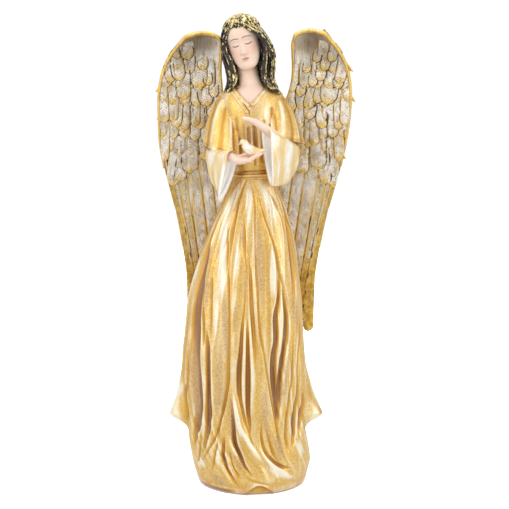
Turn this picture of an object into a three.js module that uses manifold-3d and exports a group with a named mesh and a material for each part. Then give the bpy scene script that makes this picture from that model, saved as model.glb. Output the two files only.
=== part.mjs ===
// A standing angel figurine, cast in one piece: a long folded gown, a wide-sleeved tunic,
// hands that hold a dove, a bowed head with long hair, and two feathered wings.
// Millimetres, +Z up. The figure faces -Y, and the origin is the middle of its flat underside.
import * as THREE from "three";
import { mergeVertices } from "three/addons/utils/BufferGeometryUtils.js";
import Module from "manifold-3d";

// The figure's height, and the height that its proportions below are written for
const FIGURE_HEIGHT = 490;
const PROPORTION_HEIGHT = 490;
const UNIT = FIGURE_HEIGHT / PROPORTION_HEIGHT;

// Sizes that can be set by themselves
const WING_WALL = 4.5;
const WING_RIM = 4;
const FEATHER_THICKNESS = 2.4;
const FEATHER_RIDGE = 1.4;
const FOLD_DEPTH = 5.2;
const COLLAR_RADIUS = 1.6;
const BELT_HALF_HEIGHT = 4.2;
const BELT_HALF_THICKNESS = 2;
const SLEEVE_MOUTH_DEPTH = 7;
const OVERSKIRT_STEP = 2.4;

// How finely the forms are faceted
const GOWN_SIDES = 46;
const SLEEVE_SIDES = 12;
const LIMB_SIDES = 8;
const LOCK_SIDES = 5;
const FINGER_SIDES = 4;

const wasm = await Module();
wasm.setup();

const at = (x, y, z) => new THREE.Vector3(x, y, z).multiplyScalar(UNIT);
const mix = (a, b, t) => a + (b - a) * t;
const clamp01 = (t) => Math.min(1, Math.max(0, t));
const smooth = (t) => clamp01(t) ** 2 * (3 - 2 * clamp01(t));
const radians = (degrees) => (degrees * Math.PI) / 180;

// A smooth function through rows of [key, value, value...], sorted by key
function track(rows) {
  const slope = (i, c) => {
    const a = rows[Math.max(0, i - 1)];
    const b = rows[Math.min(rows.length - 1, i + 1)];
    return (b[c] - a[c]) / (b[0] - a[0]);
  };
  return (key) => {
    const k = Math.min(rows[rows.length - 1][0], Math.max(rows[0][0], key));
    let i = 0;
    while (i < rows.length - 2 && rows[i + 1][0] < k) i++;
    const span = rows[i + 1][0] - rows[i][0];
    const t = (k - rows[i][0]) / span;
    return rows[i].slice(1).map((start, j) => {
      const c = j + 1;
      const m0 = slope(i, c) * span;
      const m1 = slope(i + 1, c) * span;
      return (
        (2 * t ** 3 - 3 * t ** 2 + 1) * start +
        (t ** 3 - 2 * t ** 2 + t) * m0 +
        (3 * t ** 2 - 2 * t ** 3) * rows[i + 1][c] +
        (t ** 3 - t ** 2) * m1
      );
    });
  };
}

// A closed body through rings of points, with a fan at each end
function loft(rings) {
  const sides = rings[0].length;
  const points = rings.flat();
  const first = points.length;
  const middle = (ring) => ring.reduce((sum, p) => sum.add(p), new THREE.Vector3()).divideScalar(sides);
  points.push(middle(rings[0]), middle(rings[rings.length - 1]));
  const faces = [];
  for (let r = 0; r < rings.length - 1; r++)
    for (let i = 0; i < sides; i++) {
      const a = r * sides + i;
      const b = r * sides + ((i + 1) % sides);
      faces.push([a, b, b + sides], [a, b + sides, a + sides]);
    }
  const last = (rings.length - 1) * sides;
  for (let i = 0; i < sides; i++) {
    const j = (i + 1) % sides;
    faces.push([first, j, i], [first + 1, last + i, last + j]);
  }
  return solidOf(points, faces);
}

// A solid from points and triangles, whichever way round the triangles run
function solidOf(points, faces) {
  const volume = faces.reduce((sum, [a, b, c]) => {
    const normal = new THREE.Vector3().crossVectors(points[b], points[c]);
    return sum + points[a].dot(normal);
  }, 0);
  const turned = volume < 0 ? faces.map(([a, b, c]) => [a, c, b]) : faces;
  const geometry = new THREE.BufferGeometry();
  geometry.setAttribute("position", new THREE.Float32BufferAttribute(points.flatMap((p) => [p.x, p.y, p.z]), 3));
  geometry.setIndex(turned.flat());
  const merged = mergeVertices(geometry, 1e-3);
  return new wasm.Manifold(
    new wasm.Mesh({
      numProp: 3,
      vertProperties: merged.attributes.position.array,
      triVerts: new Uint32Array(merged.index.array),
    }),
  );
}

// A closed body between a front and a back grid of points, joined along their four edges
function slab(front, back) {
  const lines = front.length;
  const columns = front[0].length;
  const points = [...front.flat(), ...back.flat()];
  const offset = lines * columns;
  const faces = [];
  const quad = (a, b, c, d) => faces.push([a, b, c], [a, c, d]);
  for (let r = 0; r < lines - 1; r++)
    for (let c = 0; c < columns - 1; c++) {
      const a = r * columns + c;
      quad(a, a + 1, a + columns + 1, a + columns);
      quad(offset + a, offset + a + columns, offset + a + columns + 1, offset + a + 1);
    }
  for (let c = 0; c < columns - 1; c++) {
    const top = c;
    const bottom = (lines - 1) * columns + c;
    quad(top + 1, top, offset + top, offset + top + 1);
    quad(bottom, bottom + 1, offset + bottom + 1, offset + bottom);
  }
  for (let r = 0; r < lines - 1; r++) {
    const left = r * columns;
    const right = left + columns - 1;
    quad(left, left + columns, offset + left + columns, offset + left);
    quad(right + columns, right, offset + right, offset + right + columns);
  }
  return solidOf(points, faces);
}

// An oval ring of points round a centre, spanned by two half-axes
function oval(centre, halfA, halfB, sides) {
  return Array.from({ length: sides }, (_, i) => {
    const angle = (2 * Math.PI * i) / sides;
    return centre.clone().addScaledVector(halfA, Math.cos(angle)).addScaledVector(halfB, Math.sin(angle));
  });
}

// A limb, lock or cord through stations of [x, y, z, half width, half thickness],
// where the width lies along the given direction
function limb(stations, across, sides, steps) {
  const path = track(stations.map((row, i) => [i, ...row]));
  const rings = [];
  const end = stations.length - 1;
  for (let i = 0; i <= steps; i++) {
    const t = (i / steps) * end;
    const [x, y, z, width, thickness] = path(t);
    const before = at(...path(Math.max(0, t - 0.05)).slice(0, 3));
    const tangent = at(...path(Math.min(end, t + 0.05)).slice(0, 3)).sub(before).normalize();
    const thin = new THREE.Vector3().crossVectors(tangent, across).normalize();
    const wide = new THREE.Vector3().crossVectors(thin, tangent).normalize();
    rings.push(oval(at(x, y, z), wide.multiplyScalar(width * UNIT), thin.multiplyScalar(thickness * UNIT), sides));
  }
  return loft(rings);
}

// The gown: its outline by height, as left, right, front and back
const GOWN_OUTLINE = track([
  [0, -54, 55, -47, 43],
  [4, -58.5, 59, -50, 46],
  [12, -60.5, 61, -50, 47],
  [25, -63.5, 60.5, -47.5, 45],
  [40, -67, 58.5, -45, 43],
  [60, -69, 57, -42.5, 42],
  [90, -72, 57.5, -41, 41],
  [115, -74.5, 58, -40.5, 40],
  [140, -74, 56, -40, 39],
  [170, -70, 54, -38.5, 37],
  [200, -66, 51.4, -36, 34.5],
  [235, -55.5, 46.5, -32, 30],
  [264, -45, 42, -28, 27],
  [281, -38.5, 37.5, -25, 24],
  [298, -30, 32.5, -21, 20.5],
  [312, -23.5, 27, -18, 17],
  [334, -17, 20, -15, 14],
]);

// The gown's folds on the front: top and bottom height, the angle from straight ahead at four
// even heights between them, width in millimetres and depth as a share of FOLD_DEPTH
const FRONT_FOLDS = [
  [268, 140, [-68, -64, -54, -52], 7, 1],
  [170, 44, [-44, -41, -47, -75], 6, 1],
  [215, 52, [-45, -35, -33, -41], 5, 1.2],
  [263, 20, [-30, -14, -16, -60], 4.5, 0.8],
  [218, 50, [0, -1, -2, 2], 6, 1],
  [275, 140, [-5, 3, 6, 8], 5, 0.6],
  [322, 24, [-3, 10, 19, 40], 5, 0.9],
  [222, 74, [37, 36, 29, 27], 7.5, 1.2],
  [306, 188, [5, 25, 38, 44], 4.5, 0.5],
  [300, 190, [67, 61, 63, 62], 5, 0.8],
  [122, 42, [56, 55, 51, 45], 6, 1],
  [100, 40, [86, 76, 65, 66], 6, 1],
  [64, 8, [-22, -21, -20, -11], 5, 0.9],
  [86, 16, [-10, -9, -6, 3], 5, 0.9],
  [62, 12, [8, 13, 19, 28], 5, 0.8],
];
const BACK_FOLDS = 6;
const BACK_FOLD_SWAY = 5;
const backFolds = Array.from({ length: BACK_FOLDS }, (_, i) => {
  const angle = 112 + (136 * i) / (BACK_FOLDS - 1);
  const sway = i % 2 ? BACK_FOLD_SWAY : -BACK_FOLD_SWAY;
  return [300 - 18 * (i % 3), 66, [angle, angle + sway, angle, angle - sway], 8, 0.85];
});
const FOLDS = [...FRONT_FOLDS, ...backFolds].map(([top, bottom, angles, width, depth]) => {
  const angleAt = track(angles.map((angle, i) => [i / 3, radians(angle)]));
  return { top, bottom, angleAt, width, depth };
});

// How far the folds cut into the gown at an angle and a height
function foldCut(angle, z, radius) {
  return FOLDS.reduce((cut, fold) => {
    const t = (fold.top - z) / (fold.top - fold.bottom);
    if (t <= 0 || t >= 1) return cut;
    const [centre] = fold.angleAt(t);
    let turn = angle - centre;
    if (turn > Math.PI) turn -= 2 * Math.PI;
    if (turn < -Math.PI) turn += 2 * Math.PI;
    const ease = smooth(t / 0.25) * smooth((1 - t) / 0.15);
    return cut + fold.depth * ease * Math.exp(-(((turn * radius) / fold.width) ** 2));
  }, 0);
}

// The overskirt: a second layer behind, whose hem ends in a flared corner at each side
// The gown's top goes up inside the tunic, where it is plain
const GOWN_TOP = 334;
const OVERSKIRT_HEM = 62;
const CORNER_HEIGHT = 70;
const CORNER_ANGLES = [-88, 90];
const CORNER_REACH = [16, 17];
const CORNER_TOP = 128;
function overskirt(angle, z) {
  const behind = smooth((Math.abs(angle) - radians(78)) / radians(14));
  const above = smooth((z - OVERSKIRT_HEM) / 5) * smooth((300 - z) / 60);
  let reach = OVERSKIRT_STEP * behind * above;
  CORNER_ANGLES.forEach((corner, i) => {
    const rise = clamp01((CORNER_TOP - z) / (CORNER_TOP - CORNER_HEIGHT));
    const fall = smooth((z - OVERSKIRT_HEM + 8) / (CORNER_HEIGHT - OVERSKIRT_HEM + 8));
    const near = Math.exp(-(((angle - radians(corner)) / radians(10)) ** 2));
    reach += CORNER_REACH[i] * rise ** 1.7 * fall * near;
  });
  return reach;
}

function gownPoint(angle, z) {
  const [left, right, front, back] = GOWN_OUTLINE(z);
  const halfWidth = (right - left) / 2;
  const halfDepth = (back - front) / 2;
  const squareness = 2 / 2.3;
  const bend = (v) => Math.sign(v) * Math.abs(v) ** squareness;
  const cut = FOLD_DEPTH * foldCut(angle, z, (halfWidth + halfDepth) / 2);
  const free = smooth((GOWN_TOP - z) / 14);
  const out = (overskirt(angle, z) - cut + 0.25 * FOLD_DEPTH) * free;
  const x = (left + right) / 2 + halfWidth * bend(Math.sin(angle)) + out * Math.sin(angle);
  const y = (front + back) / 2 - halfDepth * bend(Math.cos(angle)) - out * Math.cos(angle);
  return at(x, y, z);
}

// Angles round the gown, closer together on the front, where the carving is finest
const gownAngles = Array.from({ length: GOWN_SIDES }, (_, i) => {
  const t = (2 * i) / GOWN_SIDES - 1;
  return Math.PI * (0.52 * t + 0.48 * t ** 3);
});
const GOWN_HEIGHTS = [
  0, 3, 9, 18, 28, 39, 50, 57, 63, 70, 81, 94, 109, 125, 142, 160, 179, 198, 217, 236, 254, 271, 290,
  309, GOWN_TOP,
];
const gown = loft(GOWN_HEIGHTS.map((z) => gownAngles.map((angle) => gownPoint(angle, z))));

// The tunic's body from the belt to the neck: left, right, front and back by height
const TUNIC_OUTLINE = track([
  [328, -16, 19.5, -15, 14],
  [342, -19, 22, -18, 16],
  [360, -24, 25, -22, 18],
  [378, -28, 28, -25.5, 19],
  [394, -31, 30.5, -25, 20],
  [404, -33, 32, -21.5, 19],
  [411, -32, 31, -17, 17],
  [417, -22, 21, -13, 14],
  [421, -13, 12, -10, 11],
]);
const tunicBody = loft(
  [328, 344, 362, 380, 395, 407, 416, 421].map((z) => {
    const [left, right, front, back] = TUNIC_OUTLINE(z);
    const centre = at((left + right) / 2, (front + back) / 2, z);
    return oval(centre, at((right - left) / 2, 0, 0), at(0, (back - front) / 2, 0), 18);
  }),
);
// The neckline is cut to a V, down to the chest
const NECKLINE = { bottom: [-2, 400], left: [-26, 425], right: [20, 425], from: -40, to: -13 };
const neckline = loft(
  [NECKLINE.from, NECKLINE.to].map((y) =>
    [NECKLINE.bottom, NECKLINE.left, NECKLINE.right].map(([x, z]) => at(x, y, z)),
  ),
);
const tunic = tunicBody.subtract(neckline);
const WAIST = { x: 2, y: -0.5, z: 329, halfWidth: 20, halfDepth: 16.6 };
// The band's ends overlap behind the back, tucked under each other
const BELT_STATIONS = 14;
const BELT_OVERLAP = 0.3;
const beltStations = Array.from({ length: BELT_STATIONS }, (_, i) => {
  const angle = mix(-Math.PI - BELT_OVERLAP, Math.PI + BELT_OVERLAP, i / (BELT_STATIONS - 1));
  const tucked = i % (BELT_STATIONS - 1) ? 1 : 0.88;
  const x = WAIST.x + tucked * WAIST.halfWidth * Math.sin(angle);
  const y = WAIST.y - tucked * WAIST.halfDepth * Math.cos(angle);
  return [x, y, WAIST.z - Math.cos(angle), BELT_HALF_HEIGHT / UNIT, BELT_HALF_THICKNESS / UNIT];
});
const belt = limb(beltStations, new THREE.Vector3(0, 0, 1), LOCK_SIDES, 16);

// A wide tunic sleeve that falls from the shoulder over the bent arm:
// rows of centre x, y, z, half length along the forearm, half thickness, and tilt of the hem
function tunicSleeve(side, rows, forearm) {
  const along = new THREE.Vector3(forearm[0] * side, forearm[1], 0).normalize();
  const across = new THREE.Vector3(-along.y, along.x, 0);
  const shape = track(rows.map((row, i) => [i, ...row]));
  const rings = [];
  const steps = 5;
  for (let i = 0; i <= steps; i++) {
    const [x, y, z, length, thickness, tilt] = shape((i / steps) * (rows.length - 1));
    const halfA = along.clone().multiplyScalar(length * UNIT).add(at(0, 0, tilt));
    rings.push(oval(at(x * side, y, z), halfA, across.clone().multiplyScalar(thickness * UNIT), SLEEVE_SIDES));
  }
  return loft(rings);
}
const leftTunicSleeve = tunicSleeve(
  -1,
  [
    [20, 1, 413, 9, 9, 0],
    [26, -1, 402, 13, 12, 0],
    [29.5, -5, 387, 17, 13.5, -1],
    [31, -11, 370, 21, 13.5, -3],
    [31.5, -16, 355.5, 24, 12.5, -6],
  ],
  [-0.74, -0.67],
);
const rightTunicSleeve = tunicSleeve(
  1,
  [
    [19, 1, 413, 9, 9, 0],
    [25, -1, 402, 13, 12, 0],
    [30, -5, 388, 17, 13.5, 1],
    [34, -11, 374, 20, 13, 3],
    [36, -15, 364, 22, 12, 4],
  ],
  [-0.74, -0.67],
);

// A bell sleeve: it runs along the forearm from elbow to wrist and droops below it.
// Rows of centre x, y, z, half width across the arm, drop below the arm, and how far the drop swings back
function bellSleeve(rows, across) {
  const shape = track(rows.map((row, i) => [i, ...row]));
  const wide = new THREE.Vector3(...across).normalize();
  const steps = 6;
  const ringAt = (t, inset) => {
    const [x, y, z, width, drop, swing] = shape(t);
    return Array.from({ length: SLEEVE_SIDES }, (_, i) => {
      const angle = (2 * Math.PI * i) / (SLEEVE_SIDES);
      const up = Math.sin(angle);
      const low = Math.max(0, -up);
      const waist = 1 - 0.35 * low ** 3;
      const rise = up > 0 ? 6 * up : (drop - inset) * up;
      const side = (width - inset * 0.6) * Math.cos(angle) * waist;
      return at(x + swing * low ** 1.5, y, z + rise).addScaledVector(wide, side * UNIT);
    });
  };
  const end = rows.length - 1;
  const rings = Array.from({ length: steps + 1 }, (_, i) => ringAt((i / steps) * end, 0));
  // The mouth of the sleeve is carved in: the last ring turns back into a hollow
  const inward = rings[rings.length - 3][0].clone().sub(rings[rings.length - 1][0]).normalize();
  const lip = ringAt(end, 1.6);
  const floor = ringAt(end, 3.2).map((p) => p.addScaledVector(inward, SLEEVE_MOUTH_DEPTH));
  return loft([...rings, lip, floor]);
}
const leftBell = bellSleeve(
  [
    [-44.5, -9, 350, 7, 12, 0],
    [-41, -14, 350, 11, 32, 3],
    [-35, -22, 350, 12.5, 42, 3],
    [-29, -30, 349.5, 12, 46, -2],
    [-22.5, -36, 349, 11, 45, -9],
  ],
  [0.4, 0.92, 0],
);
const rightBell = bellSleeve(
  [
    [46, -8, 353, 7, 10, 0],
    [43, -14, 355, 11, 25, -1],
    [36, -23, 359, 13, 38, -1],
    [27, -33, 365, 13, 45, 0],
    [18, -42, 371, 11.5, 51, 5],
  ],
  [-0.4, 0.92, 0],
);

// Hands: a palm and four fingers each, and a thumb
const UPWARD = new THREE.Vector3(0, 0, 1);
const FORWARD = new THREE.Vector3(0, 1, 0);
function hand(forearm, wrist, palm, knuckles, tips, spread, thumb) {
  const stations = [[...forearm, 5.5, 5.5], [...wrist, 5.6, 4.8], [...palm, 7.4, 4], [...knuckles, 7.6, 3.2]];
  const palmBody = limb(stations, FORWARD, LIMB_SIDES, 4);
  const fingers = [-1.5, -0.5, 0.5, 1.5].map((place) => {
    const reach = 1 - 0.1 * Math.abs(place + 0.4);
    const shift = place * spread;
    const joint = knuckles.map((v, i) => mix(v, tips[i], 0.5 * reach));
    const tip = knuckles.map((v, i) => mix(v, tips[i], reach));
    return limb(
      [
        [knuckles[0], knuckles[1] + shift, knuckles[2], 2.1, 2.4],
        [joint[0], joint[1] + shift, joint[2] + 0.3, 1.9, 2.1],
        [tip[0], tip[1] + shift, tip[2], 1.1, 1.3],
      ],
      FORWARD,
      FINGER_SIDES,
      3,
    );
  });
  return [palmBody, ...fingers, limb(thumb, FORWARD, FINGER_SIDES, 3)];
}
const lowerHand = hand(
  [-33, -27, 349.5],
  [-20, -39, 348.6],
  [-12, -47, 346.5],
  [-3, -51, 346],
  [11.5, -53, 354.5],
  3.7,
  [[-12, -41, 349, 2.4, 2.4], [-5, -40, 351.5, 2.1, 2.1], [1, -42, 353.5, 1.2, 1.2]],
);
const upperHand = hand(
  [29, -32, 364],
  [17, -44, 374.5],
  [9, -49, 380],
  [2, -51, 385],
  [-10, -53, 388],
  3.4,
  [[9, -43, 380, 2.4, 2.4], [3, -42, 383, 2, 2], [-3, -43, 384, 1.2, 1.2]],
);

// The dove in the lower hand
const dove = [
  limb(
    [
      [-12.5, -52, 362.5, 0.5, 0.5],
      [-10, -52, 364, 3, 3.2],
      [-7.5, -52, 363.5, 3.6, 3.8],
      [-5, -52, 359.5, 4.8, 4.6],
      [1, -52, 356, 5.6, 5],
      [8, -52, 356, 4, 2.6],
      [14.5, -52, 357, 3.8, 1.1],
    ],
    FORWARD,
    7,
    9,
  ),
  limb([[-5, -57, 357, 1.5, 1], [1, -58, 356, 3.2, 1.4], [10, -55.5, 355.5, 1, 0.6]], UPWARD, LOCK_SIDES, 3),
];

// The neck and the bare chest inside the collar
const neck = limb(
  [
    [-4, 1, 446, 9.5, 9.5],
    [-3, 0, 430, 10.2, 10],
    [-1.5, 0, 418, 12, 11.5],
    [-1, -3, 408, 17, 14],
    [-1, -6, 398, 16, 15],
  ],
  new THREE.Vector3(1, 0, 0),
  10,
  4,
);
const collar = [
  [[-23, -8, 417], [-14, -18, 409.5], [-2, -25.5, 398]],
  [[18, -9, 418], [9, -19, 409.5], [-2, -25.5, 398]],
  [[-19, -10, 414], [-11, -21, 402], [-4, -26.5, 391]],
].map((points) => limb(points.map((p) => [...p, COLLAR_RADIUS, COLLAR_RADIUS]), FORWARD, LOCK_SIDES, 4));

// The head, in its own frame: half width, front and back by height above its middle
const HEAD_MIDDLE = at(-9, -2, 463);
const HEAD_TILT = radians(-16);
const HEAD_NOD = radians(8);
const HEAD_TURN = radians(-6);
const headTurn = new THREE.Matrix4()
  .makeTranslation(HEAD_MIDDLE)
  .multiply(new THREE.Matrix4().makeRotationY(HEAD_TILT))
  .multiply(new THREE.Matrix4().makeRotationX(HEAD_NOD))
  .multiply(new THREE.Matrix4().makeRotationZ(HEAD_TURN));
const HEAD_OUTLINE = track([
  [-26, 5, -17, -9],
  [-24, 8.5, -19.8, -4],
  [-19, 12, -20.2, 4],
  [-12, 14.6, -20.4, 12],
  [0, 16.6, -19.6, 20],
  [10, 17, -20.8, 22.5],
  [18, 14.8, -17.4, 20],
  [23.5, 9.5, -10.5, 13],
  [26, 3, -2, 5],
]);
const NOSE = { top: 3, base: -8.5, reach: 4.2, halfWidth: 3.6 };
const head = loft(
  [-26, -23.5, -18, -12.5, -9, -6, 0, 7, 14, 20, 24.5].map((z) => {
    const [halfWidth, front, back] = HEAD_OUTLINE(z);
    const ridge = clamp01((NOSE.top - z) / (NOSE.top - NOSE.base)) * smooth((z - NOSE.base + 3.5) / 3.5);
    return Array.from({ length: 16 }, (_, i) => {
      const angle = (2 * Math.PI * (i + 0.5)) / 16;
      const x = halfWidth * Math.sin(angle);
      const y = (front + back) / 2 - ((back - front) / 2) * Math.cos(angle);
      const nose = y < 0 ? NOSE.reach * ridge * Math.exp(-((x / NOSE.halfWidth) ** 2)) : 0;
      return at(x, y - nose, z).applyMatrix4(headTurn);
    });
  }),
);

// Closed eyelids and lips, as low swellings in the head's frame
const onFace = (rows) => {
  const placed = rows.map(([x, y, z, ...rest]) => {
    const p = at(x, y, z).applyMatrix4(headTurn).divideScalar(UNIT);
    return [p.x, p.y, p.z, ...rest];
  });
  return limb(placed, FORWARD, FINGER_SIDES, 2);
};
const EYE = { spread: 6.6, length: 3.2, z: 0.4, y: -17.2 };
const faceRelief = [-1, 1].map((side) =>
  onFace([
    [side * EYE.spread - EYE.length, EYE.y + 0.6, EYE.z, 0.4, 0.4],
    [side * EYE.spread, EYE.y - 0.6, EYE.z, 1.6, 1.9],
    [side * EYE.spread + EYE.length, EYE.y + 0.6, EYE.z, 0.4, 0.4],
  ]),
);
const MOUTH = { halfWidth: 4, z: -14.5, y: -19.6 };
faceRelief.push(
  onFace([
    [-MOUTH.halfWidth, MOUTH.y + 1.2, MOUTH.z, 0.3, 0.3],
    [0, MOUTH.y, MOUTH.z, 1.2, 1.5],
    [MOUTH.halfWidth, MOUTH.y + 1.2, MOUTH.z, 0.3, 0.3],
  ]),
);

// The hair: a cap over the skull, a mass behind the neck, and locks down both sides
const HAIR_OUTLINE = track([
  [-9, 17.5, -6, 26],
  [1, 19.2, -10, 27],
  [11, 19.4, -15, 26.5],
  [18, 17.2, -18.5, 23.5],
  [24, 12, -14, 16],
  [27.6, 4.8, -5, 7],
]);
const HAIR_MIDDLE = 0.8;
const hairCap = loft(
  [-9, -1, 7, 13.5, 19, 23.5, 27.6].map((z) => {
    const [halfWidth, front, back] = HAIR_OUTLINE(z);
    return oval(at(HAIR_MIDDLE, (front + back) / 2, z), at(halfWidth, 0, 0), at(0, (back - front) / 2, 0), 16).map((p) =>
      p.applyMatrix4(headTurn),
    );
  }),
);
const backHair = limb(
  [
    [-14, 5, 480, 14, 15],
    [-9, 11, 470, 21, 15],
    [-4, 15, 448, 23.5, 12],
    [-1, 15, 430, 24, 10],
    [0, 16, 412, 26, 8],
    [0, 19, 398, 17, 4],
  ],
  new THREE.Vector3(1, 0, 0),
  10,
  5,
);
const LOCKS = [
  [
    [-18.5, -19, 478, 2, 2.5], [-24, -15, 466, 2.6, 3], [-25, -13, 455, 2.4, 3], [-22.5, -11.5, 446, 2.8, 3.4],
    [-18, -10, 437, 3.2, 3.6], [-16, -9, 428, 3.2, 3.6], [-19, -9, 420, 2.6, 3], [-25, -10, 413, 1.4, 1.8],
  ],
  [
    [-22, -14, 482, 3, 4], [-28, -8, 470, 2.6, 6], [-29.3, -5, 456, 2.6, 7], [-28, -3, 446, 2.8, 7],
    [-24.5, -2, 436, 3.2, 7], [-22.5, -2, 427, 3.2, 6], [-24.5, -4, 419, 2.8, 4.5], [-28, -6, 412, 1.6, 2.4],
  ],
  [
    [-15, -20, 478, 2, 2.5], [-5, -20, 474, 2.2, 3], [4, -17.5, 468, 2.6, 3.4], [9.5, -14.5, 459, 2.8, 4],
    [12.5, -12.5, 450, 2.8, 4], [12, -11.5, 441, 2.8, 4], [11.5, -11, 433, 3, 4], [13.5, -11, 425, 3, 4],
    [20, -12, 417.5, 2.6, 3.2], [29, -11, 411.5, 1.3, 1.8],
  ],
  [
    [-10, -14, 483, 3, 4], [4, -11, 475, 3, 5], [13, -7, 463, 3.2, 6], [18.5, -5, 451, 3.2, 6.5],
    [19.5, -4, 441, 3.2, 6.5], [18.5, -4, 432, 3.2, 6], [19, -5, 424, 3.2, 5.5], [24, -7, 416, 2.6, 4],
    [29.5, -8, 411, 1.4, 2.2],
  ],
  [
    [-5, -3, 485, 4, 6], [8, 1, 474, 3.5, 8], [17, 3, 462, 3, 9], [21, 4, 450, 2.8, 9], [22, 5, 438, 2.6, 9],
    [21, 5, 428, 2.6, 8], [24, 3, 418, 2.4, 5], [28, 0, 411, 1.4, 3],
  ],
];
const SIDEWAYS = new THREE.Vector3(1, 0, 0);
const locks = LOCKS.map((rows) => limb(rows, SIDEWAYS, LOCK_SIDES, rows.length + 1));

// The wings: distance of the inner and the outer edge from the wings' axis, by height
const WING_OUTLINE = track([
  [290, 20, 82],
  [308, 19.5, 86.6],
  [331, 18, 92.4],
  [352, 19, 96.7],
  [373, 22, 99.4],
  [392, 27.5, 101.1],
  [409, 35.5, 101.4],
  [425, 39.2, 99.6],
  [439, 39.8, 95.8],
  [450, 39.2, 90.5],
  [459, 38.5, 84.3],
  [468, 40, 76],
  [477, 44, 70],
]);
// The inner edge below, where the long feathers end one after another
const WING_LOWER_EDGE = track([
  [154, 65],
  [165, 57.5],
  [188, 48],
  [221, 37],
  [260, 27],
  [290, 21],
]);
const WING_TIP = 154;
const LOWER_EDGE_TOP = 288;
const PRIMARY_BOW = 5.5;
const TIP_LENGTH = 8;
const WING_COLUMNS = 16;
const COVERT_COLUMNS = 4;
const PRIMARY_COLUMNS = 3;
// Rows of covert feathers, as the height of the tips at the outer and at the inner edge
const COVERT_ROWS = [
  [447, 433],
  [423, 414],
  [405, 392],
  [379, 364],
  [352, 340],
  [316, 327],
];
const wingAxis = (z) => mix(-1.5, 2.5, (z - 190) / 287);
const RIM_TOP = { outer: 76.5, inner: 40.5, arch: 9 };
// How high the wings reach. What lies above 290 is carved as for 477, and stretches with it.
const WING_TOP = 477;
const wingHeight = (z) => Math.min(z, 290) + ((WING_TOP - 290) / 187) * Math.max(0, z - 290);

// Depth of the wing's middle surface: it sweeps back towards the body and the tip, and is dished
const WING_DEPTH = track([
  [154, 42, 41, 0],
  [250, 37, 30, 1],
  [350, 30, 17, 4],
  [420, 24, 11, 8],
  [477, 17, 11, 5],
]);
function wingPoint(side, place, lift) {
  const [yInner, yOuter, dish] = WING_DEPTH(place.z);
  const y = mix(yOuter, yInner, place.share ** 1.3) + dish * Math.sin(Math.PI * place.share);
  return at(wingAxis(place.z) + side * place.x, y - lift / UNIT, wingHeight(place.z));
}

// How far along a feather's width a column is, from 0 at one edge to 1 at the other.
// Each row of coverts is set half a feather along from the one above it.
const acrossFeather = (column, row) =>
  row < COVERT_ROWS.length ? (column / COVERT_COLUMNS + (row % 2) / 2) % 1 : (column / PRIMARY_COLUMNS) % 1;
const tipShape = (across) => 1 - Math.sqrt(Math.max(0, 1 - (2 * across - 1) ** 2));

// Lines across the wing, from the top to the tips. Each has a place and a lift for every column.
function wingLines() {
  const columns = Array.from({ length: WING_COLUMNS + 1 }, (_, i) => i);
  const placeOn = (column, z) => {
    const share = column / WING_COLUMNS;
    const [inner, outer] = WING_OUTLINE(z);
    return { x: mix(outer, inner, share), z, share };
  };
  const ridge = (column, row) => FEATHER_RIDGE * (1 - Math.abs(2 * acrossFeather(column, row) - 1));
  const rim = (column) => WING_RIM * Math.exp(-((Math.min(column, WING_COLUMNS - column) / 0.9) ** 2));
  const lines = [
    columns.map((i) => {
      const share = i / WING_COLUMNS;
      const z = 468 + RIM_TOP.arch * Math.sin(Math.PI * share) ** 0.8;
      return { x: mix(RIM_TOP.outer, RIM_TOP.inner, share), z, share, lift: WING_RIM * 0.6 };
    }),
    columns.map((i) => ({ ...placeOn(i, 463), lift: Math.max(0.4, rim(i)) })),
  ];
  lines[1].forEach((place, i) => (place.z = mix(place.z, lines[0][i].z, 0.45)));
  COVERT_ROWS.forEach(([outerTip, innerTip], row) => {
    const tipLine = columns.map((i) => {
      const share = i / WING_COLUMNS;
      const tuck = TIP_LENGTH * tipShape(acrossFeather(i, row));
      return placeOn(i, mix(outerTip, innerTip, share) + tuck);
    });
    const edge = tipLine.map((place, i) => rim(i) * smooth((place.z - 300) / 60));
    lines.push(tipLine.map((place, i) => ({ ...place, lift: Math.max(edge[i], FEATHER_THICKNESS + ridge(i, row)) })));
    lines.push(tipLine.map((place, i) => ({ ...place, z: place.z - 0.8, lift: Math.max(edge[i], ridge(i, row + 1)) })));
  });
  const start = lines[lines.length - 1];
  const lastRow = COVERT_ROWS.length;
  const end = columns.map((i) => {
    const z = mix(WING_TIP, LOWER_EDGE_TOP, (i / WING_COLUMNS) ** 1.1);
    const tuck = TIP_LENGTH * tipShape(acrossFeather(i, lastRow));
    return { x: WING_LOWER_EDGE(z)[0] + 0.35 * tuck, z: z + tuck };
  });
  [0.35, 0.75, 1].forEach((t) => {
    lines.push(
      start.map((from, i) => ({
        x: mix(from.x, end[i].x, t) - PRIMARY_BOW * Math.sin(Math.PI * t) * (1 - from.share) ** 2,
        z: mix(from.z, end[i].z, t),
        share: mix(from.share, 0.5, t * 0.3),
        lift: ridge(i, lastRow) * (1 - 0.6 * t),
      })),
    );
  });
  return lines;
}

function wing(side) {
  const lines = wingLines();
  const half = WING_WALL / 2;
  const front = lines.map((line) => line.map((place) => wingPoint(side, place, half + place.lift)));
  const back = lines.map((line) => line.map((place) => wingPoint(side, place, -half - 0.6 * place.lift)));
  return slab(front, back);
}

// The wings join the body at the back of the shoulders
const wingRoot = limb(
  [
    [-38, 24, 386, 20, 4],
    [-22, 22, 378, 32, 7],
    [0, 19, 372, 38, 8],
    [22, 22, 378, 32, 7],
    [40, 24, 386, 20, 4],
  ],
  new THREE.Vector3(0, 0, 1),
  LIMB_SIDES,
  6,
);

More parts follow.
